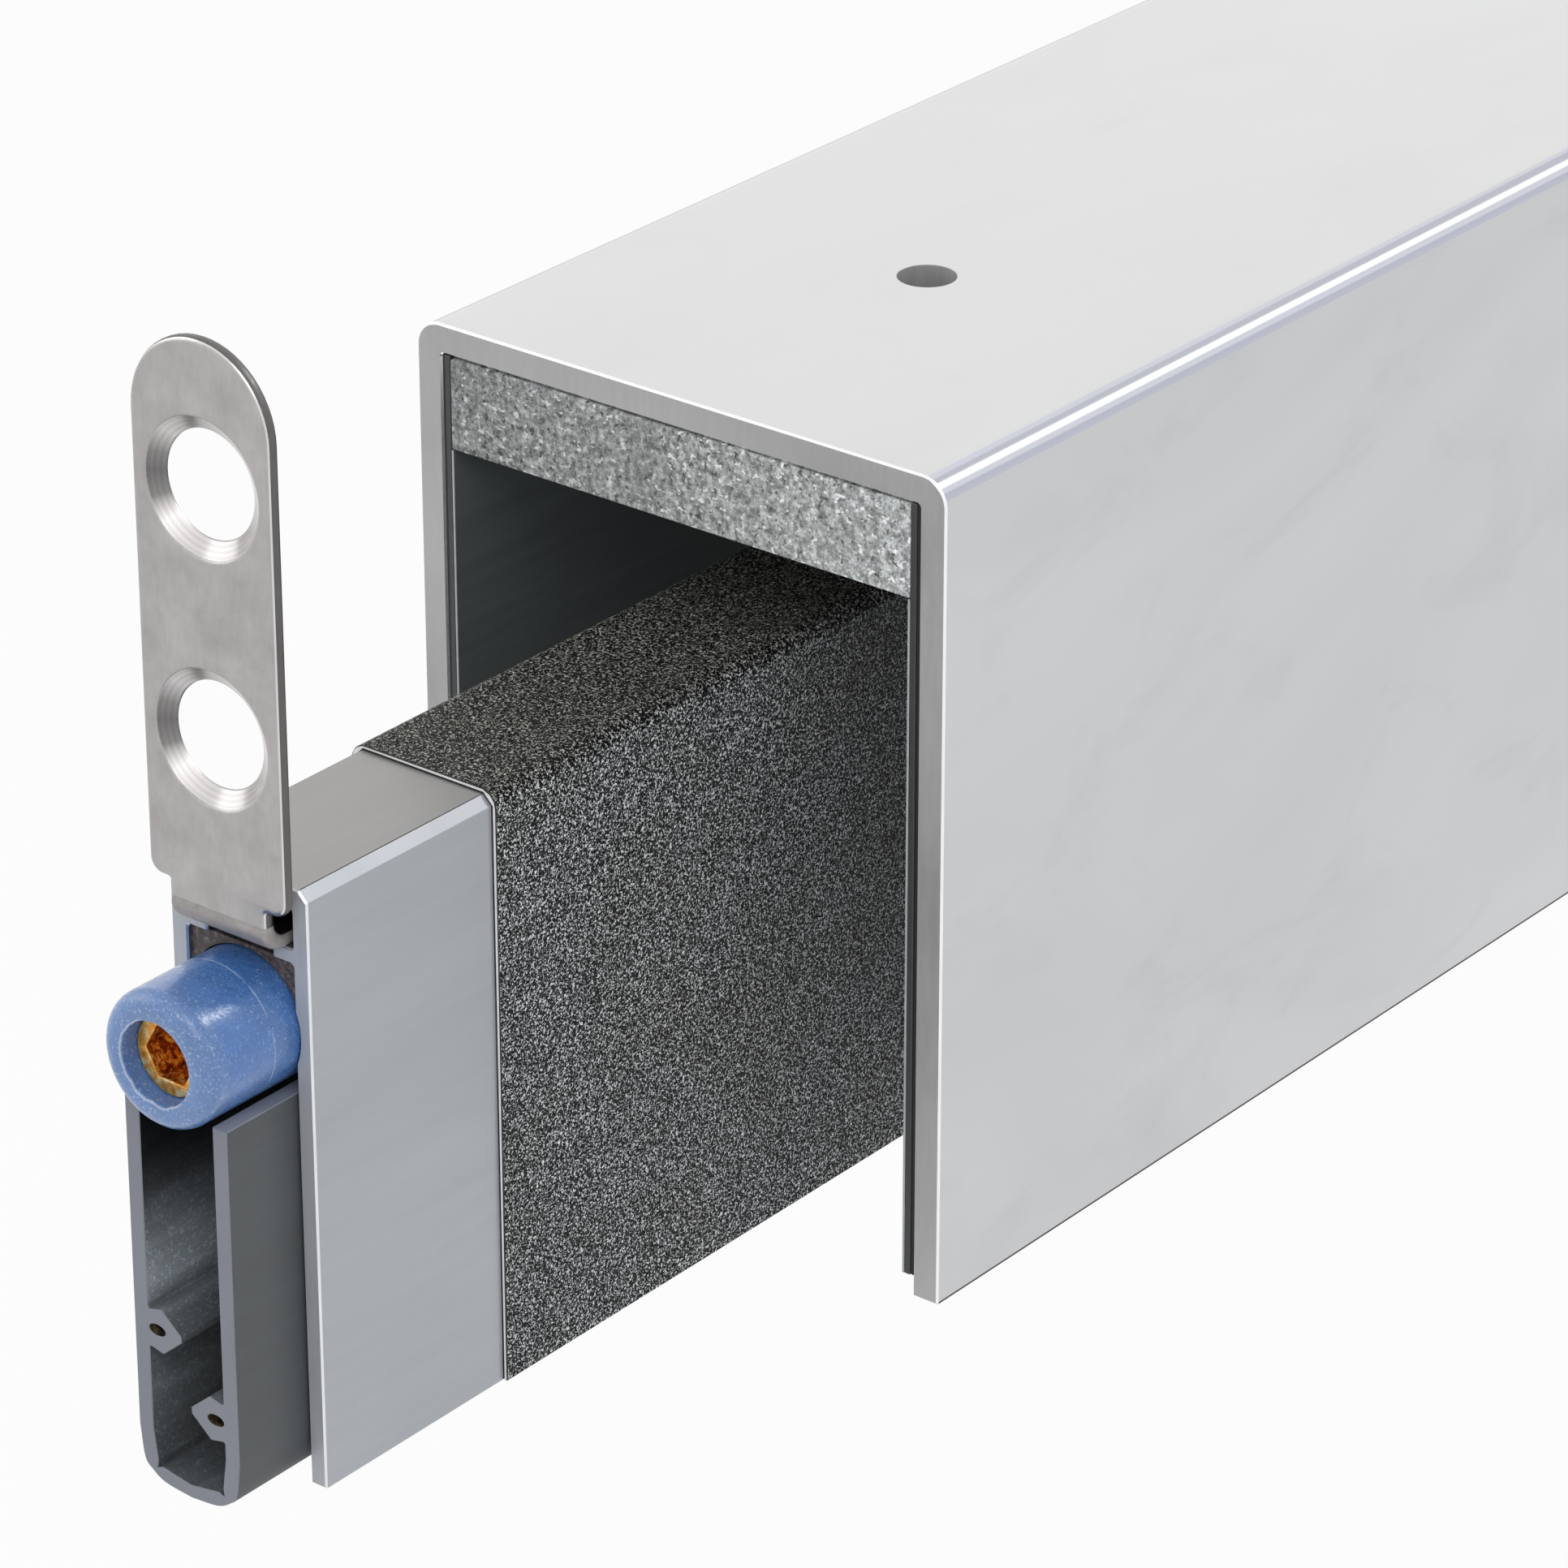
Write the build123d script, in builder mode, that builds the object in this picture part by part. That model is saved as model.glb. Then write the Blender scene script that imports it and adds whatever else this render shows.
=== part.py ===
from build123d import *
import math
import os

os.makedirs("parts", exist_ok=True)

# Automatic door bottom seal, cut back in steps at its front end so that each layer shows.
# X runs across the width, Y along the length towards the back, Z up.
# The origin is on the channel's top face, in the middle of its front edge. All sizes are in mm.

# Outer channel, an inverted U
channel_width = 50.0
channel_height = 67.5
channel_length = 150.0
channel_wall = 2.4
channel_corner_radius = 2.2

# Screw holes in the channel's web, on the centre line
web_hole_radius = 2.3
web_hole_end_gap = 30.3

# Mineral board under the web, and the liners and facings on the legs
board_thickness = 7.6
board_end_gap = 14.0
liner_thickness = 0.8
facing_thickness = 0.2
liner_foot_gap = 1.7

# Housing, an inverted U extrusion with a slot under its web for the brackets
housing_width = 13.0
housing_height = 48.0
housing_front = -48.0
housing_wall = 1.5
housing_web = 1.6
housing_corner_radius = 0.8
slot_height = 3.2
flange_thickness = 1.2
flange_reach = 1.9

# Sleeve round the housing
sleeve_thickness = 0.35
sleeve_corner_radius = 1.4
sleeve_front = -28.5

# Packers between the board and the sleeve
packer_width = 24.0
packer_length = 15.0
packer_front = 60.0
packer_end_gap = 16.0

# Fixing brackets, one at each end
bracket_width = 12.8
bracket_thickness = 1.1
bracket_rise = 40.2
bracket_gap = 1.0
bracket_bend_radius = 1.1
bracket_edge_radius = 0.3
shoulder_height = 3.4
shoulder_radius = 1.2
tongue_width = 9.0
tongue_length = 19.0
screw_hole_radius = 4.0
countersink_radius = 5.0
rear_hole_radius = 3.4
rear_countersink_radius = 4.2
lower_hole_height = 10.6
hole_spacing = 18.7

# Plunger, its travel and the drop of the seal
plunger_radius = 5.3
plunger_length = 24.0
plunger_reach = 9.0
plunger_depth = 11.7
plunger_rim_radius = 1.3
plunger_travel = 7.5
seal_drop = 12.0

# Adjusting screw in the plunger
screw_head_radius = 3.15
screw_head_length = 10.0
screw_recess = 1.6
screw_shank_radius = 1.75
screw_shank_length = 20.0
hex_across_flats = 4.0
hex_depth = 3.0
screw_head_chamfer = 0.3

# Push rod, spring and collar
rod_radius = 3.0
rod_bar_height = 4.0
rod_end_gap = 12.0
screw_bore_depth = 12.0
collar_radius = 4.6
collar_thickness = 0.8
spring_wire = 1.0
spring_coil_radius = 3.9
spring_turns = 8

# Links between the rod and the carrier rail
link_length = 32.0
link_width = 4.4
link_thickness = 2.0
front_link_place = 20.0
rear_link_end_gap = 55.0
pin_radius = 1.0

# Guides inside the housing
saddle_front_gap = 0.4
saddle_length = 17.6
guide_block_front = -12.0
guide_block_length = 12.0
rear_block_length = 8.0
rear_block_end_gap = 8.0
guide_block_height = 9.8
leg_width = 2.4
leg_length = 6.0
leg_height = 16.6

# Seal profile, a flexible U with one rib on each wall
seal_width = 9.7
seal_height = 31.5
seal_wall = 1.35
seal_reach = 7.2
seal_foot_gap = 0.3
seal_end_gap = 0.5
seal_floor = 1.05
foot_height = 4.5
notch_depth = 0.2
notch_shoulder = 0.45
wall_swell = 0.35
rib_reach = 3.15
rib_neck = 3.0
rib_head = 3.6
rib_nose = 0.5
left_rib_height = 12.9
right_rib_height = 7.45
rib_hole_length = 1.6
rib_hole_width = 0.9

# Points on the foot's curve, as shares of the half width and of the foot's height
foot_curve = ((0.925, 0.4), (0.775, 0.21), (0.51, 0.06))

# Carrier rail inside the seal
rail_setback = 19.2
rail_end_gap = 3.0
rail_top_gap = 1.5
rail_foot_gap = 0.1
rail_slot_width = 3.2
rail_slot_depth = 13.3
rail_side_gap = 0.05

# Clearances
running_clearance = 0.05
plunger_clearance = 0.1
press_clearance = 0.02
side_clearance = 0.3
groove_clearance = 0.12
leg_foot_clearance = 0.4

# Places worked out from the sizes above
inner_half = channel_width / 2 - channel_wall
board_half = inner_half - liner_thickness
board_bottom = -channel_wall - board_thickness
liner_bottom = -channel_height + liner_foot_gap
housing_bottom = -channel_height
housing_top = housing_bottom + housing_height
housing_inner_half = housing_width / 2 - housing_wall
flange_top = housing_top - housing_web - slot_height
flange_bottom = flange_top - flange_thickness
sleeve_top = housing_top + sleeve_thickness
axis_z = housing_top - plunger_depth
plunger_front = housing_front - plunger_reach
plunger_back = plunger_front + plunger_length
recess_radius = plunger_radius + plunger_clearance
seal_bottom = housing_bottom + seal_foot_gap
seal_top = seal_bottom + seal_height
seal_front = housing_front - seal_reach
seal_inner_half = seal_width / 2 - seal_wall
rail_half = seal_inner_half - rail_side_gap
rail_top = seal_top - rail_top_gap
rail_bottom = seal_bottom + foot_height + rail_foot_gap
rail_front = seal_front + rail_setback
rail_back = channel_length - rail_end_gap
guide_block_back = guide_block_front + guide_block_length
bar_front = guide_block_back + side_clearance
rod_back = channel_length - rod_end_gap
rear_block_front = channel_length - rear_block_end_gap - rear_block_length
rear_packer_front = channel_length - packer_end_gap - packer_length
web_hole_places = (web_hole_end_gap, channel_length - web_hole_end_gap)

# The links lie at rest_angle below the rod, and swing by full_swing as the seal drops
half_swing = math.degrees(math.asin(math.hypot(plunger_travel, seal_drop) / 2 / link_length))
middle_angle = math.degrees(math.atan2(plunger_travel, seal_drop))
rest_angle = middle_angle - half_swing
full_swing = 2 * half_swing
link_slack = link_length * (1 - math.cos(math.radians(half_swing))) + running_clearance
rest_reach = link_length * math.cos(math.radians(rest_angle))
rest_fall = link_length * math.sin(math.radians(rest_angle))


def across(y, z=0.0, facing=-1):
    """Plane across the length at y, whose y is Z. It faces the front, or the back if facing is 1."""
    return Plane(origin=(0, y, z), x_dir=(-facing, 0, 0), z_dir=(0, facing, 0))


def save(piece, label):
    """Labels a finished piece and writes it."""
    piece.part.label = label
    export_step(piece.part, f"parts/{label}.step")


# Outer channel
with BuildPart() as channel:
    with BuildSketch(across(0)) as channel_section:
        Rectangle(channel_width, channel_height, align=(Align.CENTER, Align.MAX))
        fillet(channel_section.vertices().group_by(Axis.Y)[-1], channel_corner_radius)
        with Locations((0, -channel_wall)):
            Rectangle(
                2 * inner_half,
                channel_height - channel_wall,
                align=(Align.CENTER, Align.MAX),
                mode=Mode.SUBTRACT,
            )
    extrude(amount=-channel_length)
    with Locations(*[(0, hole_y, 0) for hole_y in web_hole_places]):
        Hole(web_hole_radius, depth=channel_wall)
save(channel, "channel")

# Mineral board, flush with the channel's front and short of its back, with the same two holes
board_length = channel_length - board_end_gap
with BuildPart() as fire_board:
    with BuildSketch(Plane.XY.offset(-channel_wall)):
        with Locations((0, board_length / 2)):
            Rectangle(2 * board_half, board_length)
        with Locations(*[(0, hole_y) for hole_y in web_hole_places]):
            Circle(web_hole_radius, mode=Mode.SUBTRACT)
    extrude(amount=-board_thickness)
save(fire_board, "fire_board")

# Liner and facing on each leg
for side_name, side in (("left", -1), ("right", 1)):
    with BuildPart() as liner:
        with BuildSketch(across(0)):
            with Locations((side * (inner_half - liner_thickness / 2), -channel_wall)):
                Rectangle(
                    liner_thickness,
                    -channel_wall - liner_bottom,
                    align=(Align.CENTER, Align.MAX),
                )
        extrude(amount=-channel_length)
    save(liner, f"{side_name}_liner")

    with BuildPart() as facing:
        with BuildSketch(across(0)):
            with Locations((side * (board_half - facing_thickness / 2), board_bottom)):
                Rectangle(
                    facing_thickness,
                    board_bottom - liner_bottom,
                    align=(Align.CENTER, Align.MAX),
                )
        extrude(amount=-channel_length)
    save(facing, f"{side_name}_facing")


def housing_outline(grow, corner_radius):
    """Outside of the housing, grown on its top and sides."""
    with BuildSketch() as outline:
        with Locations((0, housing_bottom)):
            Rectangle(
                housing_width + 2 * grow,
                housing_height + grow,
                align=(Align.CENTER, Align.MIN),
            )
        fillet(outline.vertices().group_by(Axis.Y)[-1], corner_radius)
    return outline.sketch


# Housing: web, bracket slot, flanges, and a round recess in both walls for the plunger
with BuildPart() as housing:
    with BuildSketch(across(housing_front)):
        add(housing_outline(0, housing_corner_radius))
        with Locations((0, housing_top - housing_web)):
            Rectangle(
                2 * housing_inner_half,
                slot_height,
                align=(Align.CENTER, Align.MAX),
                mode=Mode.SUBTRACT,
            )
        with Locations((0, flange_top)):
            Rectangle(
                2 * (housing_inner_half - flange_reach),
                flange_thickness,
                align=(Align.CENTER, Align.MAX),
                mode=Mode.SUBTRACT,
            )
        with Locations((0, flange_bottom)):
            Rectangle(
                2 * housing_inner_half,
                flange_bottom - housing_bottom,
                align=(Align.CENTER, Align.MAX),
                mode=Mode.SUBTRACT,
            )
        with Locations((0, axis_z)):
            Circle(recess_radius, mode=Mode.SUBTRACT)
    extrude(amount=housing_front - channel_length)
save(housing, "housing")

# Sleeve, wrapped over the housing's top and sides
with BuildPart() as sleeve:
    with BuildSketch(across(sleeve_front)):
        add(housing_outline(sleeve_thickness, sleeve_corner_radius))
        add(housing_outline(0, housing_corner_radius), mode=Mode.SUBTRACT)
    extrude(amount=sleeve_front - channel_length)
save(sleeve, "sleeve")

# Packers that carry the wrapped housing under the board
for place_name, packer_y in (("front", packer_front), ("rear", rear_packer_front)):
    with BuildPart() as packer:
        with BuildSketch(Plane.XY.offset(sleeve_top)):
            with Locations((0, packer_y + packer_length / 2)):
                Rectangle(packer_width, packer_length)
        extrude(amount=board_bottom - sleeve_top)
    save(packer, f"{place_name}_packer")


def bracket(face_y, inward, hole_radius, sink_radius):
    """Plate with two countersunk holes, whose narrower tongue bends back into the slot."""
    plate_plane = across(face_y, facing=-inward)
    plate_top = housing_top + bracket_rise
    outer_bend = bracket_bend_radius + bracket_thickness
    shoulder = flange_top + shoulder_height
    lower_hole = housing_top + lower_hole_height
    with BuildPart() as piece:
        with BuildSketch(plate_plane) as plate:
            with Locations((0, shoulder)):
                Rectangle(bracket_width, plate_top - shoulder, align=(Align.CENTER, Align.MIN))
            fillet(plate.vertices().group_by(Axis.Y)[-1], bracket_width / 2 * 0.999)
            fillet(plate.vertices().group_by(Axis.Y)[0], shoulder_radius)
        extrude(amount=-bracket_thickness)
        outer_face = piece.faces().sort_by(Axis(plate_plane.origin, plate_plane.z_dir))[-1]
        rim = outer_face.edges().filter_by(lambda edge: edge.center().Z > shoulder + shoulder_radius)
        fillet(rim, bracket_edge_radius)
        with Locations(
            across(face_y, lower_hole, -inward),
            across(face_y, lower_hole + hole_spacing, -inward),
        ):
            CounterSinkHole(
                hole_radius,
                sink_radius,
                depth=bracket_thickness,
                counter_sink_angle=90,
            )
        with BuildSketch(Plane.YZ) as bend:
            with BuildLine():
                Polyline(
                    (face_y, shoulder + shoulder_radius),
                    (face_y, flange_top),
                    (face_y + inward * tongue_length, flange_top),
                    (face_y + inward * tongue_length, flange_top + bracket_thickness),
                    (face_y + inward * bracket_thickness, flange_top + bracket_thickness),
                    (face_y + inward * bracket_thickness, shoulder + shoulder_radius),
                    close=True,
                )
            make_face()
            outer_corner = bend.vertices().sort_by_distance((face_y, flange_top, 0))[0]
            fillet(outer_corner, outer_bend)
            inner_corner = bend.vertices().sort_by_distance(
                (face_y + inward * bracket_thickness, flange_top + bracket_thickness, 0)
            )[0]
            fillet(inner_corner, bracket_bend_radius)
        extrude(amount=tongue_width / 2, both=True)
    return piece


front_bracket_face = housing_front - bracket_gap - bracket_thickness
rear_bracket_face = channel_length + bracket_gap + bracket_thickness
save(bracket(front_bracket_face, 1, screw_hole_radius, countersink_radius), "front_bracket")
save(bracket(rear_bracket_face, -1, rear_hole_radius, rear_countersink_radius), "rear_bracket")

# Plunger with a stepped bore for the adjusting screw
with BuildPart() as plunger:
    with BuildSketch(across(plunger_front, axis_z)):
        Circle(plunger_radius)
    extrude(amount=-plunger_length)
    front_rim = plunger.edges().group_by(Axis.Y)[0]
    fillet(front_rim, plunger_rim_radius)
    with Locations(across(plunger_front, axis_z)):
        CounterBoreHole(
            screw_shank_radius + running_clearance,
            screw_head_radius + running_clearance,
            screw_recess + screw_head_length + running_clearance,
            depth=plunger_length,
        )
save(plunger, "plunger")

# Adjusting screw with a hexagon socket
screw_plane = across(plunger_front + screw_recess, axis_z)
with BuildPart() as adjusting_screw:
    with BuildSketch(screw_plane):
        Circle(screw_head_radius)
    extrude(amount=-screw_head_length)
    head_edge = adjusting_screw.edges().group_by(Axis.Y)[0]
    chamfer(head_edge, screw_head_chamfer)
    with BuildSketch(screw_plane):
        Circle(screw_shank_radius)
    extrude(amount=-screw_head_length - screw_shank_length)
    with BuildSketch(screw_plane):
        RegularPolygon(hex_across_flats / 2, 6, major_radius=False)
    extrude(amount=-hex_depth, mode=Mode.SUBTRACT)
save(adjusting_screw, "adjusting_screw")

# Collar behind the plunger, which the return spring bears on
with BuildPart() as spring_collar:
    with BuildSketch(across(plunger_back, axis_z)):
        Circle(collar_radius)
        Circle(rod_radius + press_clearance, mode=Mode.SUBTRACT)
    extrude(amount=-collar_thickness)
save(spring_collar, "spring_collar")

# Push rod: round at the front, then a flat bar with a slot round each link's upper pin
link_places = {"front": front_link_place, "rear": channel_length - rear_link_end_gap}
rod_slot_width = link_thickness + 2 * side_clearance
rod_slot_back = (rod_bar_height / 2 + link_width) / math.tan(math.radians(rest_angle))
with BuildPart() as push_rod:
    with BuildSketch(across(plunger_back, axis_z)):
        Circle(rod_radius)
    extrude(amount=plunger_back - bar_front)
    with BuildSketch(across(bar_front, axis_z)):
        Rectangle(2 * rod_radius, rod_bar_height)
    extrude(amount=bar_front - rod_back)
    with BuildSketch(across(plunger_back, axis_z)):
        Circle(screw_shank_radius + running_clearance)
    extrude(amount=-screw_bore_depth, mode=Mode.SUBTRACT)
    for link_y in link_places.values():
        slot_front = link_y - link_width / 2 - side_clearance
        with BuildSketch(Plane.XY.offset(axis_z)):
            with Locations((0, slot_front)):
                Rectangle(
                    rod_slot_width,
                    link_y + rod_slot_back - slot_front,
                    align=(Align.CENTER, Align.MIN),
                )
        extrude(amount=rod_bar_height, both=True, mode=Mode.SUBTRACT)
        with BuildSketch(Plane.YZ):
            with Locations((link_y, axis_z)):
                Circle(pin_radius + press_clearance)
        extrude(amount=housing_width, both=True, mode=Mode.SUBTRACT)
save(push_rod, "push_rod")

# Links and the pins in both of their ends
for place_name, link_y in link_places.items():
    fall = math.radians(rest_angle)
    link_plane = Plane(
        origin=(0, link_y, axis_z),
        x_dir=(0, math.cos(fall), -math.sin(fall)),
        z_dir=(1, 0, 0),
    )
    with BuildPart() as link:
        with BuildSketch(link_plane):
            with Locations((link_length / 2, 0)):
                SlotCenterToCenter(link_length, link_width)
            Circle(pin_radius + running_clearance, mode=Mode.SUBTRACT)
            with Locations((link_length - link_slack / 2, 0)):
                SlotCenterToCenter(
                    link_slack,
                    2 * (pin_radius + running_clearance),
                    mode=Mode.SUBTRACT,
                )
        extrude(amount=link_thickness / 2, both=True)
    save(link, f"{place_name}_link")

    with BuildPart() as upper_pin:
        with BuildSketch(Plane.YZ):
            with Locations((link_y, axis_z)):
                Circle(pin_radius)
        extrude(amount=rod_radius, both=True)
    save(upper_pin, f"{place_name}_upper_pin")

    with BuildPart() as lower_pin:
        with BuildSketch(Plane.YZ):
            with Locations((link_y + rest_reach, axis_z - rest_fall)):
                Circle(pin_radius)
        extrude(amount=rail_half, both=True)
    save(lower_pin, f"{place_name}_lower_pin")


def rib(side, height, grow=0.0):
    """One rib on the inside of a seal wall: a neck, then a wider head with a blunt nose."""
    root_x = side * (seal_inner_half + seal_wall / 2)
    wall_x = side * seal_inner_half
    head_x = side * (seal_inner_half - rib_reach * 0.42)
    nose_x = side * (seal_inner_half - rib_reach - grow)
    centre = seal_bottom + height
    with BuildSketch() as shape:
        with BuildLine():
            Polyline(
                (root_x, centre + rib_neck / 2 + grow),
                (wall_x, centre + rib_neck / 2 + grow),
                (head_x, centre + rib_head / 2 + grow),
                (nose_x, centre + rib_nose / 2 + grow / 2),
                (nose_x, centre - rib_nose / 2 - grow / 2),
                (head_x, centre - rib_head / 2 - grow),
                (wall_x, centre - rib_neck / 2 - grow),
                (root_x, centre - rib_neck / 2 - grow),
                close=True,
            )
        make_face()
    return shape.sketch


# Seal profile: rounded foot, two walls, a thin sagging floor and two hollow ribs
with BuildPart() as seal_profile:
    with BuildSketch(across(seal_front)):
        half = seal_width / 2
        with BuildLine():
            left_foot = Spline(
                (-half, seal_bottom + foot_height),
                *[(-half * x, seal_bottom + foot_height * z) for x, z in foot_curve],
                (0, seal_bottom),
                tangents=[(0, -1), (1, 0)],
            )
            mirror(left_foot, about=Plane.YZ)
            Polyline(
                (half, seal_bottom + foot_height),
                (half, seal_top),
                (-half, seal_top),
                (-half, seal_bottom + foot_height),
            )
        make_face()
        with BuildLine():
            floor_z = seal_bottom + seal_floor + notch_shoulder
            notch_x = seal_inner_half - wall_swell
            Polyline(
                (-notch_x + notch_shoulder, floor_z),
                (-notch_x - notch_depth / 2, floor_z - notch_depth),
                (-notch_x, floor_z + notch_shoulder),
                (-seal_inner_half, seal_bottom + foot_height),
                (-seal_inner_half, seal_top),
                (seal_inner_half, seal_top),
                (seal_inner_half, seal_bottom + foot_height),
                (notch_x, floor_z + notch_shoulder),
                (notch_x + notch_depth / 2, floor_z - notch_depth),
                (notch_x - notch_shoulder, floor_z),
            )
            ThreePointArc(
                (notch_x - notch_shoulder, floor_z),
                (0, seal_bottom + seal_floor),
                (-notch_x + notch_shoulder, floor_z),
            )
        make_face(mode=Mode.SUBTRACT)
        add(rib(-1, left_rib_height))
        add(rib(1, right_rib_height))
        rib_hole_x = seal_inner_half - rib_reach * 0.26
        with Locations(
            (-rib_hole_x, seal_bottom + left_rib_height),
            (rib_hole_x, seal_bottom + right_rib_height),
        ):
            Ellipse(rib_hole_length / 2, rib_hole_width / 2, mode=Mode.SUBTRACT)
    extrude(amount=seal_front - channel_length + seal_end_gap)
save(seal_profile, "seal_profile")

# Carrier rail: slotted for the links above, grooved for the ribs, with pockets for the guide legs
slot_bottom = rail_top - rail_slot_depth
leg_top = flange_bottom - guide_block_height
leg_bottom = leg_top - leg_height
leg_fronts = (
    guide_block_front + (guide_block_length - leg_length) / 2,
    rear_block_front + (rear_block_length - leg_length) / 2,
)
with BuildPart() as carrier_rail:
    with BuildSketch(across(rail_front)):
        with Locations((0, rail_bottom)):
            Rectangle(2 * rail_half, rail_top - rail_bottom, align=(Align.CENTER, Align.MIN))
        with Locations((0, slot_bottom)):
            Rectangle(
                rail_slot_width,
                rail_slot_depth,
                align=(Align.CENTER, Align.MIN),
                mode=Mode.SUBTRACT,
            )
        add(rib(-1, left_rib_height, groove_clearance), mode=Mode.SUBTRACT)
        add(rib(1, right_rib_height, groove_clearance), mode=Mode.SUBTRACT)
    extrude(amount=rail_front - rail_back)
    with BuildSketch(Plane.XY.offset(slot_bottom)):
        for leg_y in leg_fronts:
            with Locations((0, leg_y - side_clearance)):
                Rectangle(
                    rail_slot_width,
                    leg_length + 2 * side_clearance,
                    align=(Align.CENTER, Align.MIN),
                )
    extrude(amount=leg_bottom - leg_foot_clearance - slot_bottom, mode=Mode.SUBTRACT)
    with BuildSketch(Plane.YZ):
        for link_y in link_places.values():
            with Locations((link_y + rest_reach, axis_z - rest_fall)):
                Circle(pin_radius + press_clearance)
    extrude(amount=housing_width, both=True, mode=Mode.SUBTRACT)
save(carrier_rail, "carrier_rail")

# Saddle over the plunger, between the housing's walls and flanges
with BuildPart() as plunger_saddle:
    with BuildSketch(across(housing_front + saddle_front_gap)):
        with Locations((0, flange_bottom)):
            Rectangle(
                2 * housing_inner_half,
                flange_bottom - axis_z,
                align=(Align.CENTER, Align.MAX),
            )
        with Locations((0, axis_z)):
            Circle(recess_radius, mode=Mode.SUBTRACT)
    extrude(amount=-saddle_length)
save(plunger_saddle, "plunger_saddle")


def guide_block(front_y, length, leg_y, round_bore):
    """Block fixed between the housing's walls, with a leg that keeps the rail in line."""
    with BuildPart() as block:
        with BuildSketch(across(front_y)):
            with Locations((0, flange_bottom)):
                Rectangle(
                    2 * housing_inner_half,
                    guide_block_height,
                    align=(Align.CENTER, Align.MAX),
                )
            with Locations((0, axis_z)):
                if round_bore:
                    Circle(rod_radius + running_clearance, mode=Mode.SUBTRACT)
                else:
                    Rectangle(
                        2 * (rod_radius + running_clearance),
                        rod_bar_height + 2 * running_clearance,
                        mode=Mode.SUBTRACT,
                    )
        extrude(amount=-length)
        with BuildSketch(Plane.XY.offset(leg_top)):
            with Locations((0, leg_y)):
                Rectangle(leg_width, leg_length, align=(Align.CENTER, Align.MIN))
        extrude(amount=-leg_height)
    return block


save(guide_block(guide_block_front, guide_block_length, leg_fronts[0], True), "front_guide_block")
save(guide_block(rear_block_front, rear_block_length, leg_fronts[1], False), "rear_guide_block")

# Return spring between the collar and the front guide block
spring_front = plunger_back + collar_thickness + spring_wire / 2
spring_back = guide_block_front - spring_wire / 2
spring_length = spring_back - spring_front
with BuildPart() as return_spring:
    with BuildLine():
        coil = Helix(
            pitch=spring_length / spring_turns,
            height=spring_length,
            radius=spring_coil_radius,
            center=(0, spring_front, axis_z),
            direction=(0, 1, 0),
        )
    with BuildSketch(Plane(origin=coil @ 0, z_dir=coil % 0)):
        Circle(spring_wire / 2)
    sweep(path=coil, is_frenet=True)
save(return_spring, "return_spring")

print(f"link rest angle {rest_angle:.4f} deg, swing {full_swing:.4f} deg, slack {link_slack:.3f} mm")
print(f"axis z {axis_z:.3f}, lower pins at y {link_places['front'] + rest_reach:.4f} and z {axis_z - rest_fall:.4f}")
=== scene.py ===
"""Dresses the automatic door bottom seal round its CAD frame, and sets a plain studio round it."""

import math
import random

import bmesh
import bpy
from bpy.props import FloatProperty, FloatVectorProperty, IntProperty, PointerProperty
from mathutils import Matrix, Vector
from mathutils.geometry import tessellate_polygon


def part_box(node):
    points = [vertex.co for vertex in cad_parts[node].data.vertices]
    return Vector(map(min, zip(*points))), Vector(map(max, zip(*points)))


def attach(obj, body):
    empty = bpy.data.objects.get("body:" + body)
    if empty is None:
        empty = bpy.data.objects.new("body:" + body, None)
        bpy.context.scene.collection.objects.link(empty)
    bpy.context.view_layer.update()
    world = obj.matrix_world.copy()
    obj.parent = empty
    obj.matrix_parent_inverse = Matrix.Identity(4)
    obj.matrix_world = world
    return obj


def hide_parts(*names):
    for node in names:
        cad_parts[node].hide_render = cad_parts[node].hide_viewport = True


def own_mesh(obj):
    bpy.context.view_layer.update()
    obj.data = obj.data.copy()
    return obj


bl_info = {
    "name": "Door bottom seal",
    "version": (1, 0, 0),
    "blender": (4, 5, 0),
    "location": "3D View > Sidebar > Door seal",
    "description": "Makes the visible pieces of an automatic door bottom seal, and their studio",
    "category": "Object",
}

MM = 0.001
SMOOTH_BELOW = math.radians(36)
MERGE_BELOW = 0.0001 * MM

# Places in a piece's list of finishes
SIDE, END, EDGE = 0, 1, 2
ONE_FINISH = (SIDE, SIDE, SIDE)
TWO_FINISHES = (SIDE, END, END)
THREE_FINISHES = (SIDE, END, EDGE)

# Play of the lower pin in the link's slot, and of the pins in their eyes
SLOT_PLAY = 0.84 * MM
PIN_PLAY = 0.05 * MM

# Ring marks round the plunger, from its front
RING_MARKS = (6.6 * MM, 12.2 * MM)

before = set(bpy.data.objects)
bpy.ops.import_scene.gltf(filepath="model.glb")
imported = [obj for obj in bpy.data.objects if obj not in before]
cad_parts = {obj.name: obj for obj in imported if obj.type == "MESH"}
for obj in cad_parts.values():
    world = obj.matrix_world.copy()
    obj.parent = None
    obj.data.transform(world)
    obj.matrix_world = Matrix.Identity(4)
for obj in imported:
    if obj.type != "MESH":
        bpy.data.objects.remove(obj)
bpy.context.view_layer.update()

# Places that come from the CAD frame
channel_low, channel_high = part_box("channel")
board_low, board_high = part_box("fire_board")
housing_low, housing_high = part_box("housing")
sleeve_low, sleeve_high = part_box("sleeve")
plunger_low, plunger_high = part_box("plunger")
screw_low, screw_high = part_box("adjusting_screw")
seal_low, seal_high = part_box("seal_profile")
spring_low, spring_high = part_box("return_spring")
AXIS_Z = (plunger_low.z + plunger_high.z) / 2


def length(name, description, millimetres):
    """Property for a length."""
    return FloatProperty(
        name=name, description=description, default=millimetres * MM, min=0.0, unit="LENGTH"
    )


def colour(name, description, value):
    """Property for a finish's colour."""
    return FloatVectorProperty(
        name=name, description=description, default=value, size=3, min=0.0, max=1.0, subtype="COLOR"
    )


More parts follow.
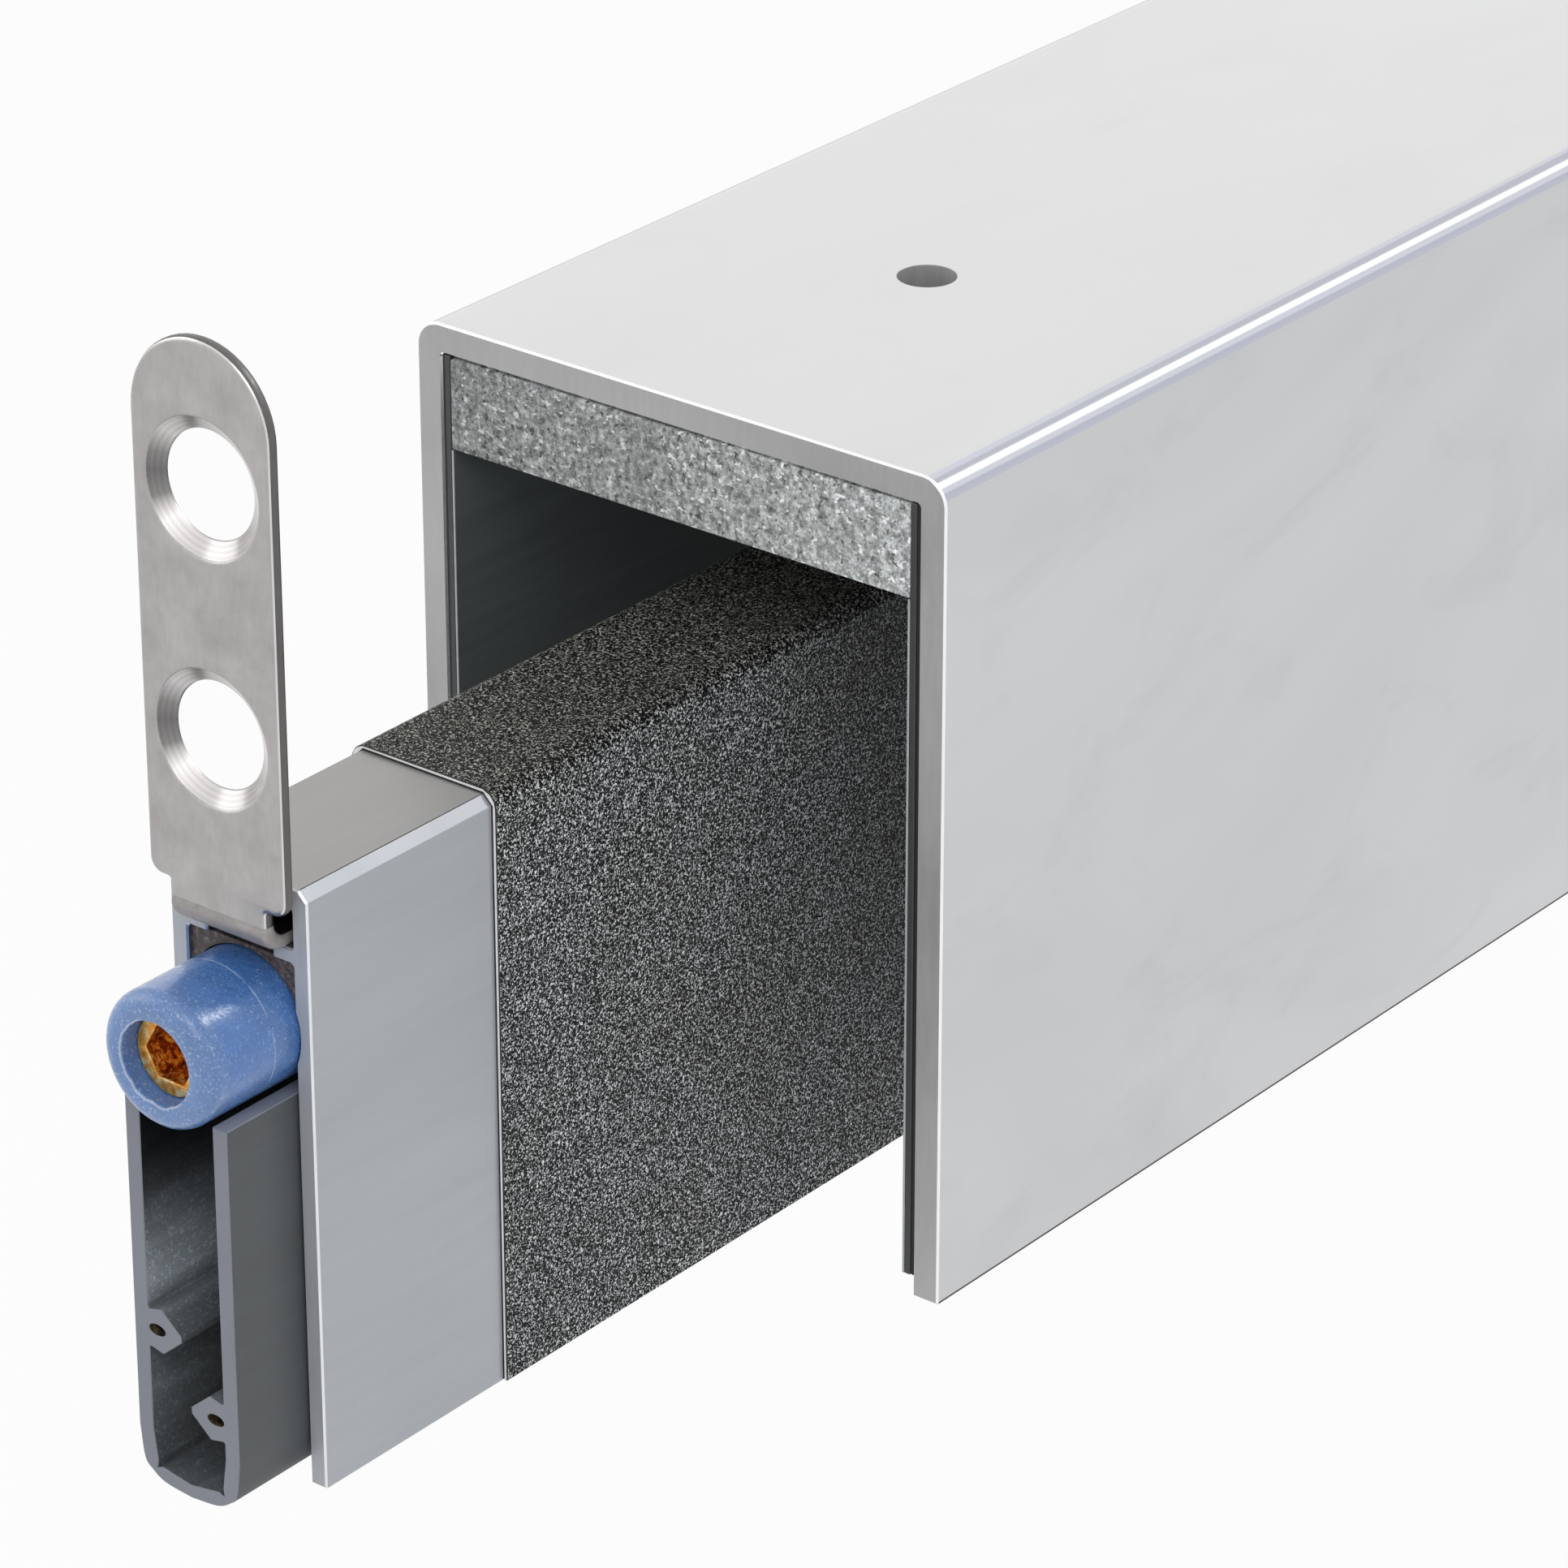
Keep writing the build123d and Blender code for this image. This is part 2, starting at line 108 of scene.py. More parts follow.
class DoorSealSizes(bpy.types.PropertyGroup):
    """Sizes of the visible pieces that the CAD boxes don't give."""

    channel_wall: length("Channel wall", "Thickness of the outer channel", 2.4)
    channel_corner: length("Channel corner", "Outer radius of the channel's two corners", 2.2)
    edge_break: length("Edge break", "Chamfer on the sawn ends", 0.16)
    web_hole: length("Web hole", "Radius of the two screw holes in the web", 2.3)
    web_hole_gap: length("Web hole gap", "From each end of the channel to its hole", 30.3)
    housing_wall: length("Housing wall", "Thickness of the housing's sides", 1.5)
    housing_web: length("Housing web", "Thickness of the housing's top", 1.6)
    housing_corner: length("Housing corner", "Chamfer of the housing's two top corners", 0.8)
    slot_height: length("Slot height", "Height of the bracket slot under the web", 3.2)
    flange: length("Flange", "Thickness of the slot's flanges", 1.2)
    flange_reach: length("Flange reach", "How far the flanges stand in from the sides", 1.9)
    sleeve_wall: length("Sleeve", "Thickness of the wrapped sleeve", 0.35)
    sleeve_corner: length("Sleeve corner", "Outer radius of the sleeve's two corners", 1.4)
    bracket_sheet: length("Bracket sheet", "Thickness of the brackets", 1.1)
    bracket_edge: length("Bracket edge", "Radius along the brackets' edges", 0.44)
    shoulder_height: length("Shoulder height", "From a tongue's underside to the shoulders", 3.4)
    tongue_width: length("Tongue width", "Width of a bracket's tongue", 9.0)
    tongue_length: length("Tongue length", "Length of a bracket's tongue in the slot", 19.0)
    hole_height: length("Hole height", "From the housing's top to a bracket's lower hole", 10.6)
    hole_spacing: length("Hole spacing", "Between a bracket's two holes", 18.7)
    front_hole: length("Front hole", "Radius of the front bracket's holes", 4.0)
    front_sink: length("Front sink", "Radius of the front bracket's countersinks", 5.0)
    rear_hole: length("Rear hole", "Radius of the rear bracket's holes", 3.4)
    rear_sink: length("Rear sink", "Radius of the rear bracket's countersinks", 4.2)
    plunger_rim: length("Plunger rim", "Radius of the plunger's rounded rim", 1.3)
    screw_socket: length("Screw socket", "Size of the hexagon socket across its flats", 4.0)
    socket_depth: length("Socket depth", "Depth of the hexagon socket", 3.0)
    screw_head: length("Screw head", "Length of the adjusting screw's head", 10.0)
    screw_shank: length("Screw shank", "Radius of the adjusting screw's shank", 1.75)
    seal_wall: length("Seal wall", "Thickness of the seal's walls", 1.35)
    foot_height: length("Foot height", "Height of the seal's rounded foot", 4.5)
    seal_floor: length("Seal floor", "Thickness of the seal's floor", 1.05)
    rib_reach: length("Rib reach", "How far the seal's ribs stand in", 3.15)
    left_rib: length("Left rib", "Height of the left rib above the seal's foot", 12.9)
    right_rib: length("Right rib", "Height of the right rib above the seal's foot", 7.45)
    link_length: length("Link length", "Between the two pins of a link", 32)
    link_width: length("Link width", "Width of a link", 4.4)
    pin_radius: length("Pin radius", "Radius of the links' pins", 1.0)
    spring_wire: length("Spring wire", "Thickness of the return spring's wire", 1.0)
    spring_coil: length("Spring coil", "Radius of the return spring's coils", 3.9)
    spring_turns: IntProperty(
        name="Spring turns", description="Coils of the return spring", default=8, min=1
    )


class DoorSealColours(bpy.types.PropertyGroup):
    """Colours of the finishes."""

    silver: colour("Silver", "Outer channel", (0.60, 0.605, 0.62))
    sawn_silver: colour("Sawn silver", "The channel's sawn end", (0.470, 0.470, 0.468))
    mineral: colour("Mineral", "Board under the web", (0.36, 0.375, 0.375))
    slate: colour("Slate", "Liner strips", (0.052, 0.056, 0.060))
    lining: colour("Lining", "Facing inside the legs", (0.125, 0.142, 0.146))
    charcoal: colour("Charcoal", "Wrapped sleeve", (0.0665, 0.068, 0.0685))
    satin: colour("Satin", "Housing", (0.415, 0.438, 0.462))
    sawn_satin: colour("Sawn satin", "The housing's sawn end", (0.500, 0.520, 0.556))
    steel: colour("Steel", "Brackets", (0.445, 0.430, 0.426))
    blue: colour("Blue", "Plunger", (0.137, 0.262, 0.550))
    brass: colour("Brass", "Adjusting screw", (0.800, 0.460, 0.120))
    rubber: colour("Rubber", "Outside of the seal", (0.088, 0.097, 0.103))
    cut_rubber: colour("Cut rubber", "The seal's cut end", (0.252, 0.266, 0.308))
    moulding: colour("Moulding", "Guides inside the housing", (0.070, 0.060, 0.060))
    zinc: colour("Zinc", "Links, pins and spring", (0.400, 0.405, 0.410))


def sizes():
    return bpy.context.scene.door_seal_sizes


def colours():
    return bpy.context.scene.door_seal_colours


# Outlines, as lists of 2-D points


def rounded(corners, steps):
    """Closed outline through corners (u, v, radius), each rounded by its radius."""
    points = []
    for place, (u, v, radius) in enumerate(corners):
        here = Vector((u, v))
        if radius <= 0:
            points.append(here)
            continue
        back = (Vector(corners[place - 1][:2]) - here).normalized()
        ahead = (Vector(corners[(place + 1) % len(corners)][:2]) - here).normalized()
        half = back.angle(ahead) / 2
        centre = here + (back + ahead).normalized() * radius / math.sin(half)
        start = here + back * radius / math.tan(half) - centre
        end = here + ahead * radius / math.tan(half) - centre
        first = math.atan2(start.y, start.x)
        turn = (math.atan2(end.y, end.x) - first + math.pi) % math.tau - math.pi
        for step in range(steps + 1):
            angle = first + turn * step / steps
            points.append(centre + radius * Vector((math.cos(angle), math.sin(angle))))
    return points


def block(left, bottom, right, top, radius, steps=3, top_radius=None):
    """Rectangle with rounded corners."""
    upper = radius if top_radius is None else top_radius
    return rounded(
        [(left, bottom, radius), (right, bottom, radius), (right, top, upper), (left, top, upper)],
        steps,
    )


def both_sides(corners):
    """Corners of a whole outline from those of its right half."""
    return [*[(-u, v, radius) for u, v, radius in reversed(corners)], *corners]


def circle(u, v, radius, steps, squeeze=1.0):
    """Circle round a point, or an ellipse if squeezed."""
    angles = [math.tau * step / steps for step in range(steps)]
    return [Vector((u + radius * math.cos(a), v + radius * squeeze * math.sin(a))) for a in angles]


def long_hole(start, end, radius, steps):
    """Outline with two straight sides and a half circle round each of its two points."""
    run = (end - start).normalized()
    across = Vector((-run.y, run.x))
    outline = []
    for centre, first in ((end, -90), (start, 90)):
        for step in range(steps + 1):
            angle = math.radians(first + 180 * step / steps)
            outline.append(centre + radius * (run * math.cos(angle) + across * math.sin(angle)))
    return outline


def curve_through(points, steps):
    """Smooth open line through the points."""
    padded = [2 * points[0] - points[1], *points, 2 * points[-1] - points[-2]]
    line = []
    for before, start, end, after in zip(padded, padded[1:], padded[2:], padded[3:]):
        for step in range(steps):
            t = step / steps
            square = 2 * before - 5 * start + 4 * end - after
            cube = 3 * start - before - 3 * end + after
            line.append(0.5 * (2 * start + (end - before) * t + square * t * t + cube * t**3))
    return [*line, points[-1]]


def turned(loop, anticlockwise):
    """The loop, turned round if it runs the other way."""
    area = sum(a.x * b.y - b.x * a.y for a, b in zip(loop, [*loop[1:], loop[0]]))
    return loop if (area > 0) == anticlockwise else loop[::-1]


def shrunk(loop, amount):
    """The loop moved into the material on its left by amount, not much more at a sharp corner."""
    least_lean, no_length = 0.6, 1e-6
    moved = []
    for place, here in enumerate(loop):
        back = (here - loop[place - 1]).normalized()
        ahead = (loop[(place + 1) % len(loop)] - here).normalized()
        side = Vector((-back.y - ahead.y, back.x + ahead.x))
        if side.length < no_length:
            moved.append(here.copy())
            continue
        lean = max(least_lean, math.sqrt(max(0.0, (1 + back.dot(ahead)) / 2)))
        moved.append(here + side.normalized() * amount / lean)
    return moved


# Solids


def along_y(u, v, w):
    """A section across the length."""
    return (u, w, v)


def along_x(u, v, w):
    """A section across the width."""
    return (w, u, v)


def extrude(bm, loops, start, end, edge, slots, steps=1, rows=1, place=along_y, paint=None):
    """Closed solid of a section, an outer loop and its holes, with eased edges at both ends.

    slots are the finishes of the sides, the ends and the eased edges, from the ends outwards
    where these are more than one. paint may give a side its own finish, from the middle and
    the normal of its stretch of the outline."""
    side_slot, end_slot, edge_slot = slots
    loops = [turned(loop, number == 0) for number, loop in enumerate(loops)]
    bends = [step / steps * math.pi / 2 for step in range(steps + 1)]
    eased = [(edge * (1 - math.sin(bend)), edge * (1 - math.cos(bend))) for bend in bends]
    levels = [(inset, start + depth) for inset, depth in eased]
    plain = end - start - 2 * edge
    levels += [(0.0, start + edge + plain * row / rows) for row in range(1, rows)]
    levels += [(inset, end - depth) for inset, depth in reversed(eased)]
    rings = [
        [[bm.verts.new(place(p.x, p.y, depth)) for p in shrunk(loop, inset)] for loop in loops]
        for inset, depth in levels
    ]
    for number, (near, far) in enumerate(zip(rings, rings[1:])):
        step = min(number, len(rings) - 2 - number)
        for loop, near_loop, far_loop in zip(loops, near, far):
            for here, corner in enumerate(near_loop):
                ahead = (here + 1) % len(near_loop)
                face = bm.faces.new((corner, near_loop[ahead], far_loop[ahead], far_loop[here]))
                face.material_index = side_slot
                if step < steps:
                    banded = isinstance(edge_slot, tuple)
                    face.material_index = edge_slot[step] if banded else edge_slot
                elif paint:
                    run = (loop[ahead] - loop[here]).normalized()
                    middle = (loop[here] + loop[ahead]) / 2
                    face.material_index = paint(middle, Vector((run.y, -run.x)))
    section = [[Vector((p.x, p.y, 0)) for p in shrunk(loop, edge)] for loop in loops]
    triangles = tessellate_polygon(section)
    for ring in (rings[0], rings[-1]):
        flat = [vert for loop in ring for vert in loop]
        for triangle in triangles:
            corners = [flat[corner] for corner in triangle]
            if len(set(corners)) == 3 and not bm.faces.get(corners):
                bm.faces.new(corners).material_index = end_slot


def lathe(bm, profile, height, steps, paint, wobble=None):
    """Turned solid round a line along Y at the given height.

    profile holds (y, radius) points, either closed round a bore or from axis to axis. paint gives
    a face's finish from its place on the profile and its angle."""
    rings = []
    for y, radius in profile:
        ring = []
        for step in range(steps if radius else 1):
            angle = math.tau * step / steps
            reach = radius + (wobble(y, radius, angle) if wobble else 0.0)
            spot = (reach * math.cos(angle), y, height + reach * math.sin(angle))
            ring.append(bm.verts.new(spot))
        rings.append(ring)
    if profile[0][1]:
        rings.append(rings[0])
    for number, (near, far) in enumerate(zip(rings, rings[1:])):
        for step in range(steps):
            ahead = (step + 1) % steps
            corners = [near[step % len(near)], near[ahead % len(near)]]
            corners += [far[ahead % len(far)], far[step % len(far)]]
            face = bm.faces.new(list(dict.fromkeys(corners)))
            face.material_index = paint(number, math.tau * (step + 0.5) / steps)


# Pieces


def bake(piece):
    """Turns the piece's modifiers into its mesh."""
    view = bpy.context.evaluated_depsgraph_get()
    mesh = bpy.data.meshes.new_from_object(piece.evaluated_get(view), depsgraph=view)
    piece.modifiers.clear()
    old, piece.data = piece.data, mesh
    mesh.name = piece.name
    bpy.data.meshes.remove(old)


def shade(piece):
    """Smooth faces with sharp corners, weighted so that flat faces stay flat."""
    piece.data.shade_smooth()
    piece.data.set_sharp_from_angle(angle=SMOOTH_BELOW)
    weighted = piece.modifiers.new("weighted", "WEIGHTED_NORMAL")
    weighted.keep_sharp = True
    weighted.weight = 100
    bake(piece)


def new_object(name, bm, finishes):
    """Object at the origin with its place in its mesh."""
    bmesh.ops.remove_doubles(bm, verts=bm.verts, dist=MERGE_BELOW)
    bmesh.ops.recalc_face_normals(bm, faces=bm.faces)
    mesh = bpy.data.meshes.new(name)
    bm.to_mesh(mesh)
    bm.free()
    for finish in finishes:
        mesh.materials.append(finish)
    piece = bpy.data.objects.new(name, mesh)
    bpy.context.scene.collection.objects.link(piece)
    return piece


def shaded_object(name, bm, finishes):
    """New object with its normals set."""
    piece = new_object(name, bm, finishes)
    shade(piece)
    return piece


def extruded(name, finishes, *section, **options):
    """New object from one extruded section."""
    bm = bmesh.new()
    extrude(bm, *section, **options)
    return shaded_object(name, bm, finishes)


def settle(piece, body, slot, *nodes):
    """Ties a finished piece to its body and hides the nodes it stands for; slot is not used."""
    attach(piece, body)
    if nodes:
        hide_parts(*nodes)


def dress(finish, *nodes):
    """Gives CAD nodes their finish."""
    for node in nodes:
        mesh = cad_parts[node].data
        mesh.materials.clear()
        mesh.materials.append(finish)


def drill_web_holes(piece, top, bottom, slot, finishes):
    """Cuts both screw holes of the web, flared where they leave the top face."""
    s = sizes()
    flare = 0.04 * MM
    levels = [(top + flare, s.web_hole + 2 * flare), (top - flare, s.web_hole)]
    levels.append((bottom - flare, s.web_hole))
    drills = []
    for y in (channel_low.y + s.web_hole_gap, channel_high.y - s.web_hole_gap):
        bm = bmesh.new()
        rings = [
            [bm.verts.new((p.x, p.y, z)) for p in circle(0, y, reach, 56)] for z, reach in levels
        ]
        for near, far in zip(rings, rings[1:]):
            for corners in zip(near, [*near[1:], near[0]], [*far[1:], far[0]], far):
                bm.faces.new(corners).material_index = slot
        bm.faces.new(rings[0])
        bm.faces.new(rings[-1])
        drills.append(new_object("drill", bm, finishes))
    for drill in drills:
        cut = piece.modifiers.new("cut", "BOOLEAN")
        cut.operation = "DIFFERENCE"
        cut.solver = "EXACT"
        cut.object = drill
    bake(piece)
    for drill in drills:
        bpy.data.objects.remove(drill)


# Nodes


def add_node(tree, kind, inputs=None, **settings):
    """New node with its settings and its inputs.

    An input is a value, another node's output, or a node, which stands for its first output."""
    node = tree.nodes.new(kind)
    for name, value in settings.items():
        setattr(node, name, value)
    for label, value in (inputs or {}).items():
        if isinstance(value, bpy.types.Node):
            value = value.outputs[0]
        if isinstance(value, bpy.types.NodeSocket):
            tree.links.new(value, node.inputs[label])
        else:
            node.inputs[label].default_value = value
    return node


def growing_tree(name, *inputs):
    """Empty Geometry Nodes tree with named inputs (label, kind, default), and their outputs."""
    tree = bpy.data.node_groups.new(name, "GeometryNodeTree")
    tree.interface.new_socket("Geometry", in_out="OUTPUT", socket_type="NodeSocketGeometry")
    for label, kind, value in (*inputs, ("Finish", "Material", None)):
        socket = tree.interface.new_socket(label, in_out="INPUT", socket_type=f"NodeSocket{kind}")
        if value is not None:
            socket.default_value = value
    return tree, add_node(tree, "NodeGroupInput").outputs


def finish_tree(tree, given, geometry):
    """Ends a tree in Realize Instances and Set Material."""
    real = add_node(tree, "GeometryNodeRealizeInstances", {"Geometry": geometry})
    paint = {"Geometry": real, "Material": given["Finish"]}
    painted = add_node(tree, "GeometryNodeSetMaterial", paint)
    add_node(tree, "NodeGroupOutput", {"Geometry": painted})
    return tree


def coil_tree():
    """Helical spring along Y."""
    tree, given = growing_tree(
        "coil",
        ("Turns", "Float", 8.0),
        ("Coil radius", "Float", 4 * MM),
        ("Wire radius", "Float", 0.5 * MM),
        ("Length", "Float", 20 * MM),
        ("Start", "Vector", (0.0, 0.0, 0.0)),
    )
    spiral = add_node(
        tree,
        "GeometryNodeCurveSpiral",
        {
            "Resolution": 40,
            "Rotations": given["Turns"],
            "Start Radius": given["Coil radius"],
            "End Radius": given["Coil radius"],
            "Height": given["Length"],
        },
    )
    section = {"Resolution": 14, "Radius": given["Wire radius"]}
    ring = add_node(tree, "GeometryNodeCurvePrimitiveCircle", section)
    wire = {"Curve": spiral, "Profile Curve": ring, "Fill Caps": True}
    skin = add_node(tree, "GeometryNodeCurveToMesh", wire)
    place = {
        "Geometry": skin,
        "Translation": given["Start"],
        "Rotation": (-math.pi / 2, 0.0, 0.0),
    }
    return finish_tree(tree, given, add_node(tree, "GeometryNodeTransform", place))


def row_tree():
    """Row of copies of one piece."""
    tree, given = growing_tree(
        "row",
        ("Piece", "Object", None),
        ("Count", "Int", 2),
        ("First", "Vector", (0.0, 0.0, 0.0)),
        ("Step", "Vector", (0.0, 0.0, 0.0)),
    )
    spots = {"Count": given["Count"], "Start Location": given["First"], "Offset": given["Step"]}
    line = add_node(tree, "GeometryNodeMeshLine", spots)
    info = add_node(tree, "GeometryNodeObjectInfo", {"Object": given["Piece"]})
    copy = {"Points": line, "Instance": info.outputs["Geometry"]}
    return finish_tree(tree, given, add_node(tree, "GeometryNodeInstanceOnPoints", copy))


def grain_tree():
    """Loose mineral grains, half sunk in a flat face."""
    tree, given = growing_tree(
        "grains",
        ("Width", "Float", 40 * MM),
        ("Height", "Float", 7 * MM),
        ("Middle", "Vector", (0.0, 0.0, 0.0)),
        ("Density", "Float", 4e6),
        ("Grain size", "Float", 0.2 * MM),
        ("Seed", "Int", 4),
    )
    size = {"Size X": given["Width"], "Size Y": given["Height"], "Vertices X": 2, "Vertices Y": 2}
    sheet = add_node(tree, "GeometryNodeMeshGrid", size)
    upright = {
        "Geometry": sheet,
        "Translation": given["Middle"],
        "Rotation": (math.pi / 2, 0.0, 0.0),
    }
    stand = add_node(tree, "GeometryNodeTransform", upright)
    spread = {"Mesh": stand, "Density": given["Density"], "Seed": given["Seed"]}
    scatter = add_node(tree, "GeometryNodeDistributePointsOnFaces", spread)
    ball = {"Radius": given["Grain size"], "Subdivisions": 1}
    grain = add_node(tree, "GeometryNodeMeshIcoSphere", ball)
    shares = {"Min": (0.20, 0.20, 0.20), "Max": (1.1, 1.1, 0.9), "Seed": given["Seed"]}
    turns = {"Max": (math.tau, math.tau, math.tau), "Seed": given["Seed"]}
    scale, turn = (
        add_node(tree, "FunctionNodeRandomValue", limits, data_type="FLOAT_VECTOR")
        for limits in (shares, turns)
    )
    copies = {"Points": scatter, "Instance": grain, "Scale": scale, "Rotation": turn}
    return finish_tree(tree, given, add_node(tree, "GeometryNodeInstanceOnPoints", copies))


def grown(name, tree, values):
    """Plain mesh object from a tree, with its inputs set by their identifiers."""
    piece = bpy.data.objects.new(name, bpy.data.meshes.new(name))
    bpy.context.scene.collection.objects.link(piece)
    modifier = piece.modifiers.new(name, "NODES")
    modifier.node_group = tree
    for item in tree.interface.items_tree:
        if item.in_out == "INPUT" and item.name in values:
            modifier[item.identifier] = values[item.name]
    bake(piece)
    if not piece.data.polygons:
        raise RuntimeError(f"{name} came out empty")
    return piece


def grown_pair(name, pattern, nodes, finish):
    """Copies of a pattern in the places of two like nodes, as one piece."""
    low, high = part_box(nodes[0])
    other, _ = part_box(nodes[1])
    values = {
        "Piece": pattern,
        "Count": len(nodes),
        "First": tuple((low + high) / 2),
        "Step": (0.0, other.y - low.y, 0.0),
        "Finish": finish,
    }
    pair = grown(name, row_tree(), values)
    bpy.data.objects.remove(pattern)
    return pair


# Finishes


class Finish:
    """One material, built node by node on Object coordinates."""

    def __init__(self, name, base, roughness, metallic=0.0, **sockets):
        self.base = tuple(base)
        self.material = bpy.data.materials.new(name)
        self.material.use_nodes = True
        self.material.diffuse_color = (*base, 1.0)
        self.tree = self.material.node_tree
        self.shader = self.tree.nodes["Principled BSDF"].inputs
        self.shader["Base Color"].default_value = (*base, 1.0)
        self.shader["Roughness"].default_value = roughness
        self.shader["Metallic"].default_value = metallic
        for label, value in sockets.items():
            self.shader[label.replace("_", " ")].default_value = value
        self.coordinates = self.tree.nodes.new("ShaderNodeTexCoord").outputs["Object"]

    def node(self, kind, output, inputs, **settings):
        return add_node(self.tree, f"ShaderNode{kind}", inputs, **settings).outputs[output]

    def noise(self, scale, detail=3.0, roughness=0.55, stretch=None, distortion=0.0):
        """Noise on the object coordinates, which stretch may scale along each axis."""
        place = self.coordinates
        if stretch:
            place = self.node("Mapping", "Vector", {"Vector": place, "Scale": stretch})
        inputs = {"Vector": place, "Scale": scale, "Detail": detail, "Roughness": roughness}
        return self.node("TexNoise", "Fac", {**inputs, "Distortion": distortion})

    def ramp(self, value, stops):
        """Colour ramp; stops are (place, colour or grey level)."""
        out = self.node("ValToRGB", "Color", {"Fac": value})
        elements = out.node.color_ramp.elements
        while len(elements) < len(stops):
            elements.new(0.5)
        for element, (spot, level) in zip(elements, stops):
            element.position = spot
            rgb = level if hasattr(level, "__len__") else (level,) * 3
            element.color = (*rgb, 1.0)
        return out

    def between(self, value, low, high, to_low=0.0, to_high=1.0):
        """The value's range from low to high, stretched to another and held at its ends."""
        limits = {"From Min": low, "From Max": high, "To Min": to_low, "To Max": to_high}
        return self.node("MapRange", "Result", {"Value": value, **limits})

    def sum(self, operation, a, b=0.0):
        """One step of arithmetic."""
        return self.node("Math", "Value", {0: a, 1: b}, operation=operation)

    def axis(self, letter):
        """One of the object coordinates."""
        return self.node("SeparateXYZ", letter, {"Vector": self.coordinates})

    def mixed(self, factor, a, b, blend="MIX"):
        a, b = (v if isinstance(v, bpy.types.NodeSocket) else (*v, 1.0) for v in (a, b))
        inputs = {0: factor, 6: a, 7: b}
        return self.node("Mix", 2, inputs, data_type="RGBA", blend_type=blend)

    def times(self, a, b):
        return self.mixed(1.0, a, b, "MULTIPLY")

    def toned(self, value, low, high, half=0.2):
        """The base colour times a level, low to high as the value crosses its middle."""
        share = self.between(value, 0.5 - half, 0.5 + half)
        return self.times(self.base, self.between(share, 0.0, 1.0, low, high))

    def paint(self, value):
        self.tree.links.new(value, self.shader["Base Color"])

    def rough(self, value):
        self.tree.links.new(value, self.shader["Roughness"])

    def bump(self, height, distance, strength, under=None):
        inputs = {"Height": height, "Distance": distance, "Strength": strength}
        if under:
            inputs["Normal"] = under
        normal = self.node("Bump", "Normal", inputs)
        self.tree.links.new(normal, self.shader["Normal"])
        return normal


def shade_of(base, factor):
    """A colour, darker or lighter."""
    return tuple(min(1.0, part * factor) for part in base)


def silver(name, base, clouding):
    """Smooth rolled metal with soft, cloudy variation along its length."""
    f = Finish(name, base, 0.2, 1.0)
    clouds = f.noise(26.0, 3.0, 0.5, (1.0, 0.42, 1.0), 1.2)
    smudges = f.noise(85.0, 5.0, 0.62, (1.0, 0.55, 1.0), 0.8)
    level = f.between(clouds, 0.3, 0.7, 1 - clouding, 1 + clouding)
    smudge = f.between(smudges, 0.52, 0.72, 1.0, 1 - clouding)
    f.paint(f.times(f.times(f.base, level), smudge))
    f.rough(f.between(smudges, 0.3, 0.75, 0.16, 0.26))
    f.bump(f.noise(420.0, 2.0, 0.5, (1.0, 0.12, 1.0)), 0.004 * MM, 0.5)
    return f.material


def rolled_corner(radius):
    """The channel's rolled corner with painted reflection: a white painted highlight between
    duller, bluish stripes.
    """
    f = Finish("rolled_corner", (0.55, 0.565, 0.62), 0.14, 1.0)
    across = f.sum("SUBTRACT", f.sum("ABSOLUTE", f.axis("X")), channel_high.x - radius)
    angle = f.sum("ARCTAN2", across, f.sum("SUBTRACT", f.axis("Z"), channel_high.z - radius))
    # Painted reflection and highlight, by angle round the corner
    reflection_bands = [
        (0.10, (0.48, 0.495, 0.55)),
        (0.37, (0.50, 0.515, 0.57)),
        (0.42, (0.96, 0.96, 0.97)),
        (0.50, (0.96, 0.96, 0.97)),
        (0.54, (0.60, 0.62, 0.70)),
        (0.62, (0.64, 0.66, 0.72)),
        (0.67, (0.47, 0.49, 0.58)),
        (0.84, (0.52, 0.535, 0.59)),
    ]
    f.paint(f.ramp(f.between(angle, 0.0, math.pi / 2), reflection_bands))
    return f.material


def sawn(name, base, level=0.16):
    """Sawn and wiped end of a metal section."""
    f = Finish(name, base, 0.5, 0.2)
    patches = f.noise(38.0, 2.0, 0.5)
    grain = f.noise(1500.0, 2.0, 0.6, (1.0, 1.0, 0.16))
    tone = f.toned(patches, 1 - level, 1 + level)
    f.paint(f.mixed(0.06, tone, f.ramp(grain, [(0.35, 0.2), (0.65, 0.75)])))
    f.rough(f.between(grain, 0.3, 0.7, 0.36, 0.48))
    f.bump(grain, 0.004 * MM, 0.4)
    return f.material


def edge_painted_light(name, base, roughness=0.22):
    """Metal edge with painted light: its colour stands in for how brightly it catches the light."""
    f = Finish(name, base, roughness, 1.0)
    f.paint(f.toned(f.noise(260.0, 2.0), 0.93, 1.0))
    return f.material


